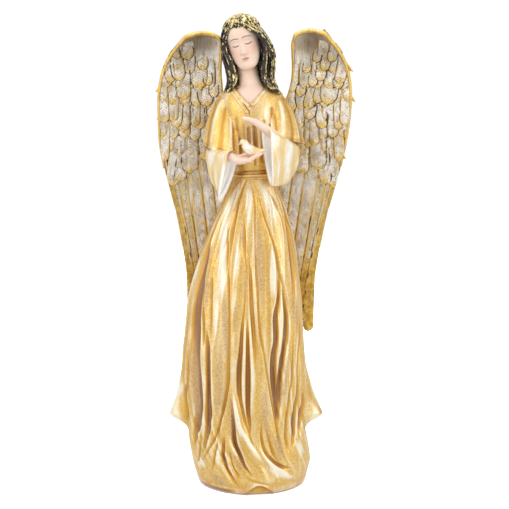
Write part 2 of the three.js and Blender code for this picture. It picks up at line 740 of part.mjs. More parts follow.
// Everything is one casting
const pieces = [
  gown,
  tunic,
  belt,
  leftTunicSleeve,
  rightTunicSleeve,
  leftBell,
  rightBell,
  ...lowerHand,
  ...upperHand,
  ...dove,
  neck,
  ...collar,
  head,
  ...faceRelief,
  hairCap,
  backHair,
  ...locks,
  wingRoot,
  wing(1),
  wing(-1),
];
const casting = pieces.reduce((sum, piece) => sum.add(piece));

const { numProp, numVert, vertProperties, triVerts } = casting.getMesh();
const positions = new Float32Array(numVert * 3);
for (let i = 0; i < numVert; i++) positions.set(vertProperties.subarray(i * numProp, i * numProp + 3), i * 3);
const geometry = new THREE.BufferGeometry();
geometry.setAttribute("position", new THREE.BufferAttribute(positions, 3));
geometry.setIndex(new THREE.BufferAttribute(triVerts, 1));

const giltResin = new THREE.MeshStandardMaterial({ color: 0xd2a64f, roughness: 0.38, metalness: 0.75 });
const figure = new THREE.Mesh(geometry, giltResin);
figure.name = "angel_figure";

const angel = new THREE.Group();
angel.add(figure);
export default angel;
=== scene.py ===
"""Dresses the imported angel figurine: finer drapery, feathers, hair, hands and face, with gilt,
silvered, pearl, skin and hair finishes. Shapes are worked out in millimetres and built in metres."""

import math

import bpy
import numpy as np
from mathutils import Matrix, Vector


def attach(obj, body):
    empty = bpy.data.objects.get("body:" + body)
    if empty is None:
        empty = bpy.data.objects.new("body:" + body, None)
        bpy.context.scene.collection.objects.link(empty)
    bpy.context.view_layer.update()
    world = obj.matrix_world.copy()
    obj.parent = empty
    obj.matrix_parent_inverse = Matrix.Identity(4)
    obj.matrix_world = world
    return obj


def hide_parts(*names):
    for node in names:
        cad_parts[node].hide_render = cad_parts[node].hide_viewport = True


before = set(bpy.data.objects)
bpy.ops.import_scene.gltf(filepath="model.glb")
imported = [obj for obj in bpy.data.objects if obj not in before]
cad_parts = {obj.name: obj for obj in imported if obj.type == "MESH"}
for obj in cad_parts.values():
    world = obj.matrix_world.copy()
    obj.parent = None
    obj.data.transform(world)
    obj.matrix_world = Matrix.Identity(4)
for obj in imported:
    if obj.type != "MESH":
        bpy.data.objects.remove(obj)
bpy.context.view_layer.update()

MM = 0.001
TURN = 2 * math.pi
X_AXIS, Y_AXIS, Z_AXIS = (1, 0, 0), (0, 1, 0), (0, 0, 1)
rng = np.random.default_rng(7)


# Numbers and curves


def mix(a, b, t):
    return a + (b - a) * t


def smooth(t):
    """0 up to 0, 1 from 1 on, and smooth between."""
    t = np.clip(t, 0, 1)
    return t * t * (3 - 2 * t)


def bell(x, width):
    return np.exp(-((x / width) ** 2))


def unit(v):
    return v / np.maximum(np.linalg.norm(v, axis=-1, keepdims=True), 1e-9)


def around(count):
    """Even angles, once round a ring."""
    return np.linspace(0, TURN, count, endpoint=False)


def grid_of(x, y, z):
    """Points from coordinates that may each be a row, a column or a whole grid."""
    return np.stack(np.broadcast_arrays(x, y, z), axis=-1)


def track(rows):
    """A smooth function through rows of (key, value, value...), sorted by key."""
    table = np.array(rows, float)
    keys, values = table[:, 0], table[:, 1:]
    last = len(keys) - 1
    ahead = np.minimum(np.arange(last + 1) + 1, last)
    behind = np.maximum(np.arange(last + 1) - 1, 0)
    slopes = (values[ahead] - values[behind]) / (keys[ahead] - keys[behind])[:, None]

    def at(key):
        key = np.clip(np.asarray(key, float), keys[0], keys[-1])
        i = np.clip(np.searchsorted(keys, key, side="right") - 1, 0, last - 1)
        span = (keys[i + 1] - keys[i])[..., None]
        t = (key - keys[i])[..., None] / span
        return (
            (2 * t**3 - 3 * t**2 + 1) * values[i]
            + (t**3 - 2 * t**2 + t) * slopes[i] * span
            + (3 * t**2 - 2 * t**3) * values[i + 1]
            + (t**3 - t**2) * slopes[i + 1] * span
        )

    return at


def numbered(rows):
    """A track through rows, whose keys are 0, 1, 2 and so on."""
    return track([(i, *row) for i, row in enumerate(rows)])


def at_levels(outline, z):
    """A track's values at a column of heights, each as a column of its own."""
    return np.moveaxis(outline(z[:, 0]), -1, 0)[..., None]


def along(stations, steps):
    """Points and tangents at even steps along a smooth path through stations."""
    path, end = numbered(stations), len(stations) - 1
    t = np.linspace(0, end, steps + 1)
    ahead = path(np.minimum(t + 0.05, end))[:, :3]
    behind = path(np.maximum(t - 0.05, 0))[:, :3]
    return path(t), unit(ahead - behind)


def limb(stations, across, sides=20, steps=24, strands=0, depth=0.0, twist=0.0):
    """Rings of a limb, cord or lock through (x, y, z, half width, half thickness).
    Strands are grooves cut along it, which twist as they go."""
    values, tangent = along(stations, steps)
    thin = unit(np.cross(tangent, np.array(across, float)))
    wide = unit(np.cross(thin, tangent))
    angle = around(sides)[None, :]
    turn = np.linspace(0, twist, steps + 1)[:, None]
    groove = 1 - depth * (0.5 + 0.5 * np.cos(strands * (angle + turn))) if strands else 1.0
    a = (np.cos(angle) * groove)[..., None] * values[:, 3][:, None, None]
    b = (np.sin(angle) * groove)[..., None] * values[:, 4][:, None, None]
    return values[:, None, :3] + wide[:, None, :] * a + thin[:, None, :] * b


def line_distance(x, z, points):
    """Distance from each place to an open run of points, and how far along it lies, 0 to 1."""
    best = np.full(np.shape(x), 1e9)
    share = np.zeros(np.shape(x))
    runs = len(points) - 1
    for i in range(runs):
        (ax, az), (bx, bz) = points[i], points[i + 1]
        dx, dz = bx - ax, bz - az
        t = np.clip(((x - ax) * dx + (z - az) * dz) / (dx * dx + dz * dz), 0, 1)
        distance = np.hypot(x - ax - t * dx, z - az - t * dz)
        nearer = distance < best
        best = np.where(nearer, distance, best)
        share = np.where(nearer, (i + t) / runs, share)
    return best, share


# Meshes


def add_object(name, data):
    obj = bpy.data.objects.new(name, data)
    bpy.context.collection.objects.link(obj)
    return obj


def store(mesh, name, values):
    """Gives each point of a mesh its own value under a name."""
    attribute = mesh.attributes.new(name, "FLOAT", "POINT")
    attribute.data.foreach_set("value", values.astype(np.float32))


def add_relief(mesh, steps):
    """Stores how far each point stands out of its smoothed surroundings, in millimetres."""
    count = len(mesh.vertices)
    edges = np.empty(len(mesh.edges) * 2, np.int32)
    mesh.edges.foreach_get("vertices", edges)
    a, b = edges[0::2], edges[1::2]
    points = np.empty(count * 3)
    mesh.vertices.foreach_get("co", points)
    points = points.reshape(-1, 3)
    normals = np.empty(count * 3, np.float32)
    mesh.vertex_normals.foreach_get("vector", normals)
    links = np.maximum(np.bincount(a, minlength=count) + np.bincount(b, minlength=count), 1)
    soft = points.copy()
    for _ in range(steps):
        for axis in range(3):
            total = np.bincount(a, soft[b, axis], count) + np.bincount(b, soft[a, axis], count)
            soft[:, axis] = 0.4 * soft[:, axis] + 0.6 * total / links
    store(mesh, "relief", np.sum((points - soft) * normals.reshape(-1, 3), axis=1) / MM)


class Piece:
    """Gathers grids of points into one mesh, with a value for each point under each name."""

    def __init__(self, name):
        self.name = name
        self.points, self.faces, self.values, self.count = [], [], {}, 0

    def grid(self, points, closed=True, caps=True, outward=None, **values):
        """Adds a grid of points. A closed one joins its last column to its first, and caps close
        both its ends. An open one faces the way outward says."""
        rows, columns = points.shape[:2]
        index = np.arange(rows * columns).reshape(rows, columns) + self.count
        right = np.roll(index, -1, axis=1) if closed else index[:, 1:]
        left = index if closed else index[:, :-1]
        quads = np.stack([left[:-1], right[:-1], right[1:], left[1:]], axis=-1).reshape(-1, 4)
        flat = points.reshape(-1, 3)
        a, b, c = (flat[quads[:, i] - self.count] for i in range(3))
        normals = np.cross(b - a, c - a)
        if outward is None:
            facing = np.sum(normals * (a - flat.mean(axis=0)))
        else:
            facing = np.sum(normals @ np.array(outward, float))
        if facing < 0:
            quads = quads[:, ::-1]
        self.faces.extend(quads.tolist())
        self.points.append(flat)
        capped = closed and caps
        if capped:
            for row, turned in ((0, facing >= 0), (rows - 1, facing < 0)):
                centre = self.count + rows * columns + (row > 0)
                self.points.append(points[row].mean(axis=0)[None])
                loop = index[row].tolist()
                for pair in zip(loop[1:] + loop[:1], loop):
                    self.faces.append((centre, *(pair if turned else pair[::-1])))
        for name in sorted(set(self.values) | set(values)):
            column = self.values.setdefault(name, [np.zeros(self.count)])
            given = np.broadcast_to(values.get(name, 0.0), (rows, columns)).astype(float)
            column.append(given.reshape(-1))
            if capped:
                column.append(np.array([given[0].mean(), given[-1].mean()]))
        self.count += rows * columns + 2 * capped
        return self

    def build(self, material, slot, relief_steps=24):
        """Makes the object, dresses it and ties it to the frame."""
        mesh = bpy.data.meshes.new(self.name)
        mesh.from_pydata((np.concatenate(self.points) * MM).tolist(), [], self.faces)
        mesh.validate()
        mesh.shade_smooth()
        for name, column in self.values.items():
            store(mesh, name, np.concatenate(column))
        add_relief(mesh, relief_steps)
        obj = add_object(self.name, mesh)
        mesh.materials.append(material)
        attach(obj, "root")
        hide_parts("angel_figure")
        return obj


# Finishes


class Finish:
    """A node material, written as short calls."""

    def __init__(self, name):
        self.material = bpy.data.materials.new(name)
        self.material.use_nodes = True
        self.tree = self.material.node_tree
        self.shader = self.tree.nodes["Principled BSDF"]
        self.place = self.new("ShaderNodeTexCoord").outputs["Object"]

    def new(self, kind, **settings):
        node = self.tree.nodes.new(kind)
        for key, value in settings.items():
            setattr(node, key, value)
        return node

    def feed(self, socket, value):
        if isinstance(value, bpy.types.NodeSocket):
            self.tree.links.new(value, socket)
        else:
            socket.default_value = value

    def values(self, *names):
        """The mesh's own values under these names."""
        return [self.new("ShaderNodeAttribute", attribute_name=name).outputs["Fac"] for name in names]

    def maths(self, operation, a, b=0.0, clamp=False):
        node = self.new("ShaderNodeMath", operation=operation, use_clamp=clamp)
        self.feed(node.inputs[0], a)
        self.feed(node.inputs[1], b)
        return node.outputs[0]

    def times(self, first, *others):
        for other in others:
            first = self.maths("MULTIPLY", first, other)
        return first

    def plus(self, base, share, amount):
        """A base plus a share of an amount."""
        return self.maths("ADD", base, self.times(share, amount))

    def spread(self, value, noise, amount, middle=0.5, clamp=False):
        """A value that a noise around middle raises here and lowers there."""
        return self.maths("ADD", value, self.times(self.maths("SUBTRACT", noise, middle), amount), clamp)

    def step(self, value, low, high):
        """0 at low, 1 at high, smooth between and flat beyond; low may be above high."""
        node = self.new("ShaderNodeMapRange", interpolation_type="SMOOTHSTEP")
        self.feed(node.inputs["Value"], value)
        spans = (low, high, 0.0, 1.0) if low < high else (high, low, 1.0, 0.0)
        for socket, given in zip(("From Min", "From Max", "To Min", "To Max"), spans):
            node.inputs[socket].default_value = given
        return node.outputs["Result"]

    def mix(self, colour, other, share, amount=1.0):
        """Lays another colour over a colour by a share, and no thicker than amount."""
        node = self.new("ShaderNodeMix", data_type="RGBA")
        self.feed(node.inputs[0], share if amount == 1.0 else self.times(share, amount))
        self.feed(node.inputs[6], colour)
        self.feed(node.inputs[7], other)
        return node.outputs[2]

    def coats(self, colour, *layers):
        """Lays coats over a colour, the lowest first, each as (colour, share) or with an amount."""
        for layer in layers:
            colour = self.mix(colour, *layer)
        return colour

    def noise(self, scale, detail=3.0, roughness=0.55, stretch=None):
        """A noise over the object. A stretch below 1 along an axis draws it out that way."""
        node = self.new("ShaderNodeTexNoise")
        place = self.place
        if stretch:
            mapping = self.new("ShaderNodeMapping")
            mapping.inputs["Scale"].default_value = stretch
            self.feed(mapping.inputs["Vector"], place)
            place = mapping.outputs[0]
        self.feed(node.inputs["Vector"], place)
        node.inputs["Scale"].default_value = scale
        node.inputs["Detail"].default_value = detail
        node.inputs["Roughness"].default_value = roughness
        return node.outputs["Fac"]

    def bumps(self, *layers):
        """A normal roughened by layers of (height, distance in metres, strength)."""
        normal = None
        for height, distance, strength in layers:
            node = self.new("ShaderNodeBump")
            node.inputs["Strength"].default_value = strength
            node.inputs["Distance"].default_value = distance
            self.feed(node.inputs["Height"], height)
            if normal is not None:
                self.feed(node.inputs["Normal"], normal)
            normal = node.outputs["Normal"]
        return normal

    def varnish(self, weight, roughness):
        self.shader.inputs["Coat Weight"].default_value = weight
        self.shader.inputs["Coat Roughness"].default_value = roughness

    def done(self, colour, metallic, roughness, normal=None):
        self.feed(self.shader.inputs["Base Color"], colour)
        self.feed(self.shader.inputs["Metallic"], metallic)
        self.feed(self.shader.inputs["Roughness"], roughness)
        if normal is not None:
            self.feed(self.shader.inputs["Normal"], normal)
        return self.material


def rgb(r, g, b):
    return (r, g, b, 1.0)


GOLD = rgb(0.83, 0.53, 0.135)
GOLD_PALE = rgb(1.0, 0.89, 0.62)
GOLD_HIGHLIGHT = rgb(1.0, 0.94, 0.76)
GOLD_DULL = rgb(0.6, 0.36, 0.07)
GOLD_DEEP = rgb(0.64, 0.325, 0.03)
BRONZE = rgb(0.33, 0.15, 0.055)
EARTH = rgb(0.43, 0.27, 0.13)
BELT_GOLD = rgb(0.58, 0.33, 0.1)
BELT_PALE = rgb(0.9, 0.68, 0.32)
SILVER = rgb(0.66, 0.59, 0.48)
SILVER_PALE = rgb(0.96, 0.93, 0.87)


def gilt(name, base=GOLD, pale=GOLD_PALE, low=-1.0, high=1.15):
    """Worn gold leaf, grainy where it is aged, with painted highlights that turn it pale on what stands
    out, and brown antique patina with painted shade in what lies deep. Low and high are the reliefs, in
    millimetres, that turn it brown and pale."""
    f = Finish(name)
    relief, patina, aged, rub = f.values("relief", "patina", "aged", "rub")
    cloud = f.noise(34, 4)
    mottle = f.noise(520, 4, 0.75)
    fleck = f.noise(820, 3, 0.75)
    crumple = f.noise(260, 4, 0.6, stretch=(1.0, 1.0, 0.45))
    streak = f.noise(110, 4, 0.6, stretch=(1.0, 1.0, 0.1))
    broad = f.noise(52, 3, 0.5, stretch=(1.0, 1.0, 0.16))
    shifted = f.spread(f.spread(relief, cloud, 1.1), crumple, 0.8)
    # patina and painted shade in the folds and under the hem, broken up by streaks
    hollow = f.spread(patina, streak, 0.35)
    # painted highlight: near-white bands where the gold catches the light
    shine = f.times(f.step(f.spread(rub, streak, 0.9), 0.15, 1.05), 0.9)
    tan = f.mix(rgb(0.78, 0.55, 0.29), rgb(0.5, 0.31, 0.14), f.step(fleck, 0.4, 0.6))
    grain = f.times(f.step(fleck, 0.5, 0.64), aged, 0.6)
    dull = f.times(f.step(fleck, 0.42, 0.62), f.step(shifted, 0.35, -0.35), 0.42)
    speck = f.times(f.step(fleck, 0.52, 0.64), f.step(crumple, 0.42, 0.62), 0.45)
    colour = f.coats(
        base,
        (GOLD_DEEP, f.step(broad, 0.46, 0.3), 0.5),
        (pale, f.step(broad, 0.54, 0.68), 0.4),
        (GOLD_DULL, f.step(mottle, 0.5, 0.6), 0.5),
        (pale, f.step(mottle, 0.46, 0.38), 0.4),
        # painted highlight on raised relief
        (pale, f.step(shifted, 0.15, high)),
        (pale, f.step(streak, 0.52, 0.72), 0.4),
        # painted highlight bands
        (GOLD_HIGHLIGHT, shine),
        # brown in low relief and in the folds: antique patina and painted shade
        (GOLD_DEEP, f.step(shifted, -0.1, low * 0.7)),
        (BRONZE, f.step(relief, low * 0.5, low * 1.4)),
        (GOLD_DEEP, f.step(hollow, 0.14, 0.45)),
        (BRONZE, f.step(hollow, 0.42, 1.0)),
        (tan, f.step(f.spread(aged, streak, 1.2), 0.25, 0.8), 0.7),
        (EARTH, f.maths("MAXIMUM", grain, f.maths("MAXIMUM", dull, speck))),
    )
    roughness = f.plus(f.plus(0.26, f.noise(240, 3), 0.22), aged, 0.15)
    metallic = f.plus(f.plus(0.88, f.step(hollow, 0.2, 0.9), -0.35), shine, -0.4)
    f.varnish(0.4, 0.22)
    normal = f.bumps((fleck, 0.00016, 0.4), (crumple, 0.0006, 0.5), (streak, 0.0006, 0.5))
    return f.done(colour, metallic, roughness, normal)


def feathered(name):
    """Champagne silver feathers: gilt edges and tips, brown wash in every groove, and painted shade beside
    the feathers above, at the roots and below the rim.
    """
    f = Finish(name)
    relief, edge, gilded, barb, dark, shade = f.values("relief", "edge", "gild", "barb", "dark", "shade")
    cloud = f.noise(60, 4)
    patch = f.noise(170, 4, 0.6)
    fleck = f.noise(850, 3, 0.7)
    scratch = f.noise(420, 3, 0.65, stretch=(1.0, 1.0, 0.5))
    wash = f.noise(260, 4, 0.7, stretch=(1.0, 1.0, 0.3))
    wave = f.maths("SINE", f.plus(barb, patch, 9.0))
    faint = f.mix(rgb(0.7, 0.46, 0.12), rgb(0.92, 0.73, 0.33), f.step(fleck, 0.4, 0.6))
    strong = f.mix(rgb(0.7, 0.4, 0.04), rgb(0.88, 0.6, 0.14), f.step(patch, 0.4, 0.6))
    groove = f.times(f.step(wave, 0.0, -0.9), f.step(scratch, 0.42, 0.6), f.step(dark, 0.5, 0.15))
    worn_edge = f.times(f.step(edge, 0.15, 0.7), f.step(patch, 0.36, 0.5))
    colour = f.coats(
        SILVER,
        (SILVER_PALE, f.step(cloud, 0.34, 0.6)),
        (f.mix(faint, strong, f.step(gilded, 0.55, 1.0)),
         f.spread(gilded, patch, 2.2, middle=0.45, clamp=True)),
        (rgb(0.36, 0.25, 0.12), f.step(wash, 0.5, 0.68), 0.65),
        (rgb(0.2, 0.125, 0.06), groove, 0.85),
        (rgb(0.93, 0.68, 0.24), worn_edge),
        # painted shade at the feathers' roots and in the hollow below the rim
        (rgb(0.17, 0.11, 0.06), shade, 0.85),
        # painted shade in low relief
        (rgb(0.18, 0.11, 0.05), f.step(relief, -0.3, -1.0)),
        # painted shade beside the outline of each feather above
        (rgb(0.075, 0.04, 0.018), f.step(f.spread(dark, patch, 0.7), 0.25, 0.65)),
    )
    roughness = f.plus(0.34, f.noise(240, 3), 0.22)
    metallic = f.plus(0.72, f.step(dark, 0.2, 0.8), -0.6)
    normal = f.bumps((fleck, 0.00015, 0.4), (patch, 0.0008, 0.4), (wave, 0.0002, 0.45))
    return f.done(colour, metallic, roughness, normal)


def pearl(name):
    """Pale pearl gold sleeves with a white lining, brushed with gold on the ridges, with painted shade in
    the recesses.
    """
    f = Finish(name)
    relief, lining, gilded = f.values("relief", "lining", "gild")
    cloud = f.noise(60, 4)
    streak = f.noise(120, 4, 0.6, stretch=(1.0, 1.0, 0.2))
    fleck = f.noise(900, 3, 0.7)
    white = f.mix(rgb(1.0, 0.99, 0.97), rgb(0.93, 0.88, 0.8), f.step(fleck, 0.45, 0.62))
    colour = f.coats(
        rgb(0.9, 0.69, 0.33),
        (rgb(1.0, 0.97, 0.89), f.step(streak, 0.4, 0.62)),
        (rgb(0.9, 0.62, 0.2), f.spread(gilded, cloud, 1.6, clamp=True)),
        # painted shade in the recesses
        (rgb(0.55, 0.35, 0.13), f.step(relief, -0.15, -0.8)),
        (rgb(0.6, 0.45, 0.25), f.step(fleck, 0.56, 0.66), 0.4),
        (white, lining),
    )
    metallic = f.plus(0.5, lining, -0.45)
    roughness = f.plus(0.3, f.noise(200, 3), 0.2)
    f.varnish(0.25, 0.25)
    normal = f.bumps((fleck, 0.0001, 0.3), (streak, 0.0006, 0.4))
    return f.done(colour, metallic, roughness, normal)


def skin(name):
    """Matte painted flesh, with blushed cheeks, rose lips, thin brown brows and lashes, and painted shade
    in the recesses.
    """
    f = Finish(name)
    relief, blush, lips, line = f.values("relief", "blush", "lips", "line")
    cloud = f.noise(70, 3)
    colour = f.coats(
        rgb(0.88, 0.64, 0.5),
        (rgb(0.92, 0.71, 0.58), f.step(cloud, 0.3, 0.7)),
        # painted shade in the recesses
        (rgb(0.66, 0.38, 0.25), f.step(relief, -0.1, -0.9)),
        (rgb(0.85, 0.40, 0.27), blush, 0.5),
        (rgb(0.74, 0.34, 0.27), lips),
        (rgb(0.1, 0.045, 0.025), line),
    )
    normal = f.bumps((f.noise(1400, 2), 0.00004, 0.25))
    return f.done(colour, 0.0, f.plus(0.42, cloud, 0.12), normal)


def painted_hair(name):
    """Near-black hair, its raised strands and its crown touched with gold leaf."""
    f = Finish(name)
    relief, leaf = f.values("relief", "leaf")
    cloud = f.noise(150, 4, 0.6)
    crack = f.noise(300, 4, 0.65, stretch=(1.0, 1.0, 0.6))
    speck = f.noise(560, 2, 0.6)
    black = f.mix(rgb(0.012, 0.008, 0.007), rgb(0.06, 0.04, 0.032), f.step(cloud, 0.4, 0.7))
    gold = f.mix(rgb(0.72, 0.49, 0.14), rgb(0.98, 0.86, 0.44), f.step(crack, 0.4, 0.65))
    grooves = f.times(relief, f.plus(0.75, f.step(leaf, 0.2, 0.45), -0.45))
    raised = f.spread(f.maths("ADD", grooves, leaf), crack, 2.4)
    share = f.times(f.step(raised, 0.38, 0.54), f.step(speck, 0.62, 0.55))
    normal = f.bumps((share, 0.00025, 0.5))
    return f.done(f.mix(black, gold, share), f.times(share, 0.85), f.plus(0.3, cloud, 0.2), normal)


# Gown

# Height, left, right, front and back of the gown, without its folds
GOWN_OUTLINE = track([
    (0, -53, 54, -48, 43), (4, -57, 57, -50, 46), (12, -60, 59, -50, 47),
    (25, -63, 61.5, -47.5, 45), (40, -66, 59.5, -45, 43), (60, -67.5, 56, -42.5, 42),
    (90, -70, 56, -41, 41), (115, -72, 56.5, -40.5, 40), (140, -71.5, 54.5, -40, 39),
    (170, -68, 52.5, -38.5, 37), (200, -64.5, 50.5, -36, 34.5), (235, -55, 46, -32, 30),
    (264, -45, 41.8, -28, 27), (281, -38.5, 37.5, -25, 24), (298, -30, 32.5, -21, 20.5),
    (312, -23.5, 27, -18, 17), (334, -17, 20, -15, 14),
])
GOWN_TOP = 334
# Folds on the front, each as its rows and how flat its bottom is. A row is height, x, half width
# and depth. Where both sides differ it has two half widths, left and right, and a row of height
# and x alone is an end. A negative depth is a ridge.
FRONT_FOLDS = [
    # the broad hollow down the left side, and the one beside it
    ([(274, -40, 1, 0), (260, -43.5, 2, 3), (246, -47, 2.6, 4.2), (228, -51, 3, 4.6),
      (203, -56, 3.8, 4, 5), (172, -58, 5, 5.5), (141, -57.5, 5.2, 3.4, 4.2), (109, -56, 5.5, 4, 4.2),
      (88, -55, 4.6, 3.4, 5), (70, -57, 4.2, 3.6, 4.6), (58, -59.5, 2.4, 3),
      (42, -60.5, 1.2, 0)], 3.4),
    ([(172, -47), (152, -46, 1.6, 2, 3), (120, -45.5, 2, 2.4, 4.6), (98, -45.5, 2.2, 2.6, 5),
      (77, -45.5, 2.6, 3, 4.8), (58, -47.5, 1.9, 2.2, 3.2), (38, -51.5, 1, 0)], 2.6),
    ([(323, -14, 0.8, 0.5), (300, -27, 0.9, 1.3), (273, -39, 1, 1.6), (243, -47.3, 1.1, 1.8),
      (204, -50.5, 1.3, 2.2), (172, -50, 1.3, 2.2), (150, -49, 1.4, 0)], 1.6),
    ([(240, -41), (214, -41.5, 0.9, 1.3), (183, -42, 0.9, 1.3), (155, -42.6)], 1.6),
    # the bright ridge left of the middle, and the long sweep on its right
    ([(292, -26, 2, 0), (265, -29, 3, -1.1), (230, -29.5, 3.4, 3.2, -1.4), (205, -30, 3, -0.9),
      (185, -30, 2, 0)], 2),
    ([(286, -24), (265, -25, 1, 1.1), (224, -24, 1.1, 1.4), (183, -23.5, 1.1, 1.4),
      (141, -23.5, 3, 1, 1.8), (120, -24, 3, 1, 2.2), (98, -27.5, 2, 1, 2.4),
      (77, -32.5, 1.6, 1, 2.4), (60, -37, 1.4, 1, 2), (45, -45, 1.2, 1, 1.6), (28, -53)], 1.8),
    ([(326, -5, 0.8, 0.6), (308, -12, 1.3, 1.8), (290, -16, 1.4, 2.2), (265, -20, 1.4, 2),
      (245, -22.3, 1.1, 1.3), (222, -23)], 1.8),
    ([(304, -8), (280, -8, 2.2, 1, 1.3), (255, -7, 2.2, 1, 1.6), (238, -6, 1.6, 1, 1),
      (222, -5, 1, 0)], 2),
    # the middle: a golden valley, then two dark valleys with a thin ridge between
    ([(246, -3), (224, -1.5, 1.3, 1.6, 1.8), (193, 0, 2, 2.2, 2.8), (172, 1.5, 2.2, 2.6, 2.8),
      (150, 3.5, 2.2, 2.6, 1.7), (128, 4, 2, 0)], 2.4),
    ([(228, -6.5), (193, -8, 1.1, 1.6), (172, -10, 1.4, 2.4), (151, -11.5, 1.8, 3),
      (130, -13, 2.5, 2, 3.8), (109, -13, 2.2, 2, 3.2), (98, -11.5, 1.5, 1.4, 2.6),
      (77, -7, 1.3, 2.3), (60, -2, 1, 1.2), (48, 2)], 2.4),
    ([(186, -5), (162, -4.5, 1.4, 2.8), (130, -4, 2.3, 2.2, 4.2), (109, -4, 2.3, 2.2, 4.2),
      (88, -4, 1.9, 1.8, 3.4), (72, -2.5, 1.3, 2.2), (56, -1)], 2.4),
    ([(326, -2, 0.8, 0.4), (304, 2, 0.9, 1.1), (275, 3, 1, 1.5), (243, 4, 1, 1.5), (214, 6, 1, 1.5),
      (172, 8.2, 1, 1.5), (141, 13.5, 1.1, 1.6), (109, 18.5, 1.1, 1.7), (88, 22.5, 1.2, 1.1, 2),
      (66, 26.5, 1.1, 1.9), (45, 30.5, 1.1, 1.6), (30, 36, 1, 0)], 1.6),
    # the crossing line on the right, with a bright ridge inside it
    ([(320, 4.5), (294, 10.5, 0.9, 1.4), (270, 18.5, 1, 1.7), (250, 24.5, 1.1, 1.8),
      (230, 28, 1.1, 1.8), (212, 33.5, 1, 1.4), (180, 41)], 1.6),
    ([(258, 19, 2, 1.4, 0), (240, 22, 2.4, 1.7, -1.1), (222, 22.5, 2.6, 1.8, -1.3),
      (200, 21, 2, 1.6, 0)], 2),
    # two lens-shaped hollows on the right, which run together
    ([(230, 28), (204, 26.8, 1.7, 2, 3.4), (183, 24.5, 2.5, 2.4, 4.6), (162, 25, 2.7, 2.2, 4.8),
      (141, 22.5, 2.7, 3, 4.6), (120, 22.5, 2.7, 3.4, 4.8), (98, 24.8, 2.3, 2.9, 4.8),
      (82, 26.2, 1.7, 2, 3.8), (70, 27)], 3),
    ([(220, 31), (204, 33, 1.5, 2.8), (183, 35, 2, 2.4, 4.4), (162, 34.5, 2.4, 2.6, 5),
      (141, 31.5, 2.6, 5), (120, 29, 2.4, 4.8), (98, 27.8, 1.8, 2.2, 4.2), (80, 27.5, 1, 0)], 3),
    ([(324, 19, 0.9, 0.5), (302, 29.5, 1, 1.5), (288, 34, 1.3, 2.6), (265, 38, 1.6, 1.8, 4),
      (245, 40.6, 1.8, 2, 4.6), (224, 42.6, 1.7, 1.8, 4.2), (206, 43.6, 1.2, 2.2), (190, 44)], 2.8),
    ([(318, 14), (300, 24, 1, 1), (280, 31.5, 1, 1.2), (262, 35)], 1.8),
    ([(175, 43), (141, 43, 1, 1.5), (120, 41.5, 1, 1.5), (98, 38, 1.1, 1.7), (72, 35.2, 1.2, 2.2),
      (56, 35.2, 1.1, 1.8), (42, 37.5)], 1.8),
    ([(190, 49), (160, 49.5, 1, 1.4), (130, 48, 1, 1.3), (112, 48)], 1.8),
    ([(124, 50), (98, 46.5, 1.4, 1.6, 2.8), (77, 44, 2.3, 1.9, 4.4), (60, 43, 1.9, 3.8),
      (46, 42, 1, 0)], 2.4),
    ([(102, 53.5), (90, 53, 1.5, 2.4), (77, 51.5, 1.9, 1.7, 3.6), (62, 50, 1.5, 3.4), (50, 50)], 2.4),
    # the sweep over the foot, and the cloth that lies on the ground
    ([(108, -19, 1.4, 0), (88, -16.5, 2.2, 1.7, -1.3), (72, -12.5, 2.4, 1.8, -1.6),
      (56, -4, 2.8, 2.2, -1.6), (42, 5, 3, 2.4, -1.2), (28, 15, 2, 0)], 2),
    ([(102, -21.5), (80, -19.5, 1.6, 1.1, 3), (66, -18.6, 2.4, 1.3, 4), (54, -17.5, 2.6, 1.6, 4.6),
      (44, -13.5, 2.2, 1.6, 4.6), (32, -8.5, 2, 1.7, 3.8), (24, -3, 1.6, 1.4, 2.2),
      (18, 2, 1, 0)], 2.2),
    ([(62, -29), (48, -30, 1.4, 1.3, 2.6), (38, -29.5, 2.2, 1.6, 3.8), (28, -26.5, 2, 1.6, 3.6),
      (17, -20.5, 1.8, 1.5, 2.6), (9, -14, 1, 0)], 2.2),
    ([(48, -24), (34, -21.5, 1.1, 1.9), (23, -16.5, 1.1, 1.5), (15, -11)], 1.8),
    ([(78, 9.5), (56, 10.5, 1.4, 1.1, 2.1), (43, 15, 1.6, 1.2, 2.6), (33, 24, 2.4, 1.8, 2.8),
      (27, 33.5, 3.2, 2.4, 2.6), (24, 41, 3, 2, 0)], 2),
    ([(74, 13), (56, 18, 1.1, 1.6), (42, 22.5, 1.2, 1.7), (30, 29)], 1.8),
    ([(48, 8, 1.6, 0), (36, 17, 3, 2.4, -1.2), (26, 28, 4, 3.4, -1.5), (13, 42, 2.4, 0)], 2),
    ([(66, -33), (45, -37.5, 1.1, 1.5), (30, -40, 1.1, 1.4), (20, -41)], 1.8),
    ([(60, -53), (45, -54.5, 1.2, 1.7), (34, -56, 1.1, 1.3), (24, -57)], 1.8),
    ([(20, -8, 1.4, 0), (14, 6, 3.4, 1.2), (9, 22, 2, 0)], 2),
    ([(150, -67), (120, -67.5, 1, 1.4), (98, -69, 1.3, 2), (80, -67.5, 1.3, 2), (66, -66)], 1.8),
]
FOLD_END = (0.8, 0.8, 0)
# Where the leaf has worn to a grainy tan: x and height of the middle, half width, half height
# and how far it leans to the right on its way down
AGED = [
    (8, 240, 5, 54, 3), (-27, 176, 3.6, 34, 1), (-61, 112, 4.6, 44, 2), (14, 84, 5, 30, 3),
    (28, 48, 5, 20, 5), (-34, 122, 4.6, 42, -2), (-45.5, 212, 2.6, 26, -3), (-10, 274, 2.4, 18, -2),
    (-7, 222, 2.4, 20, 0), (43.5, 192, 3.6, 24, 3), (-22.5, 82, 3.2, 24, 1), (-17, 186, 2.2, 16, -2),
    (34, 118, 2.6, 30, -3), (-34, 14, 9, 7, 6), (-15, 36, 4, 10, 5),
]
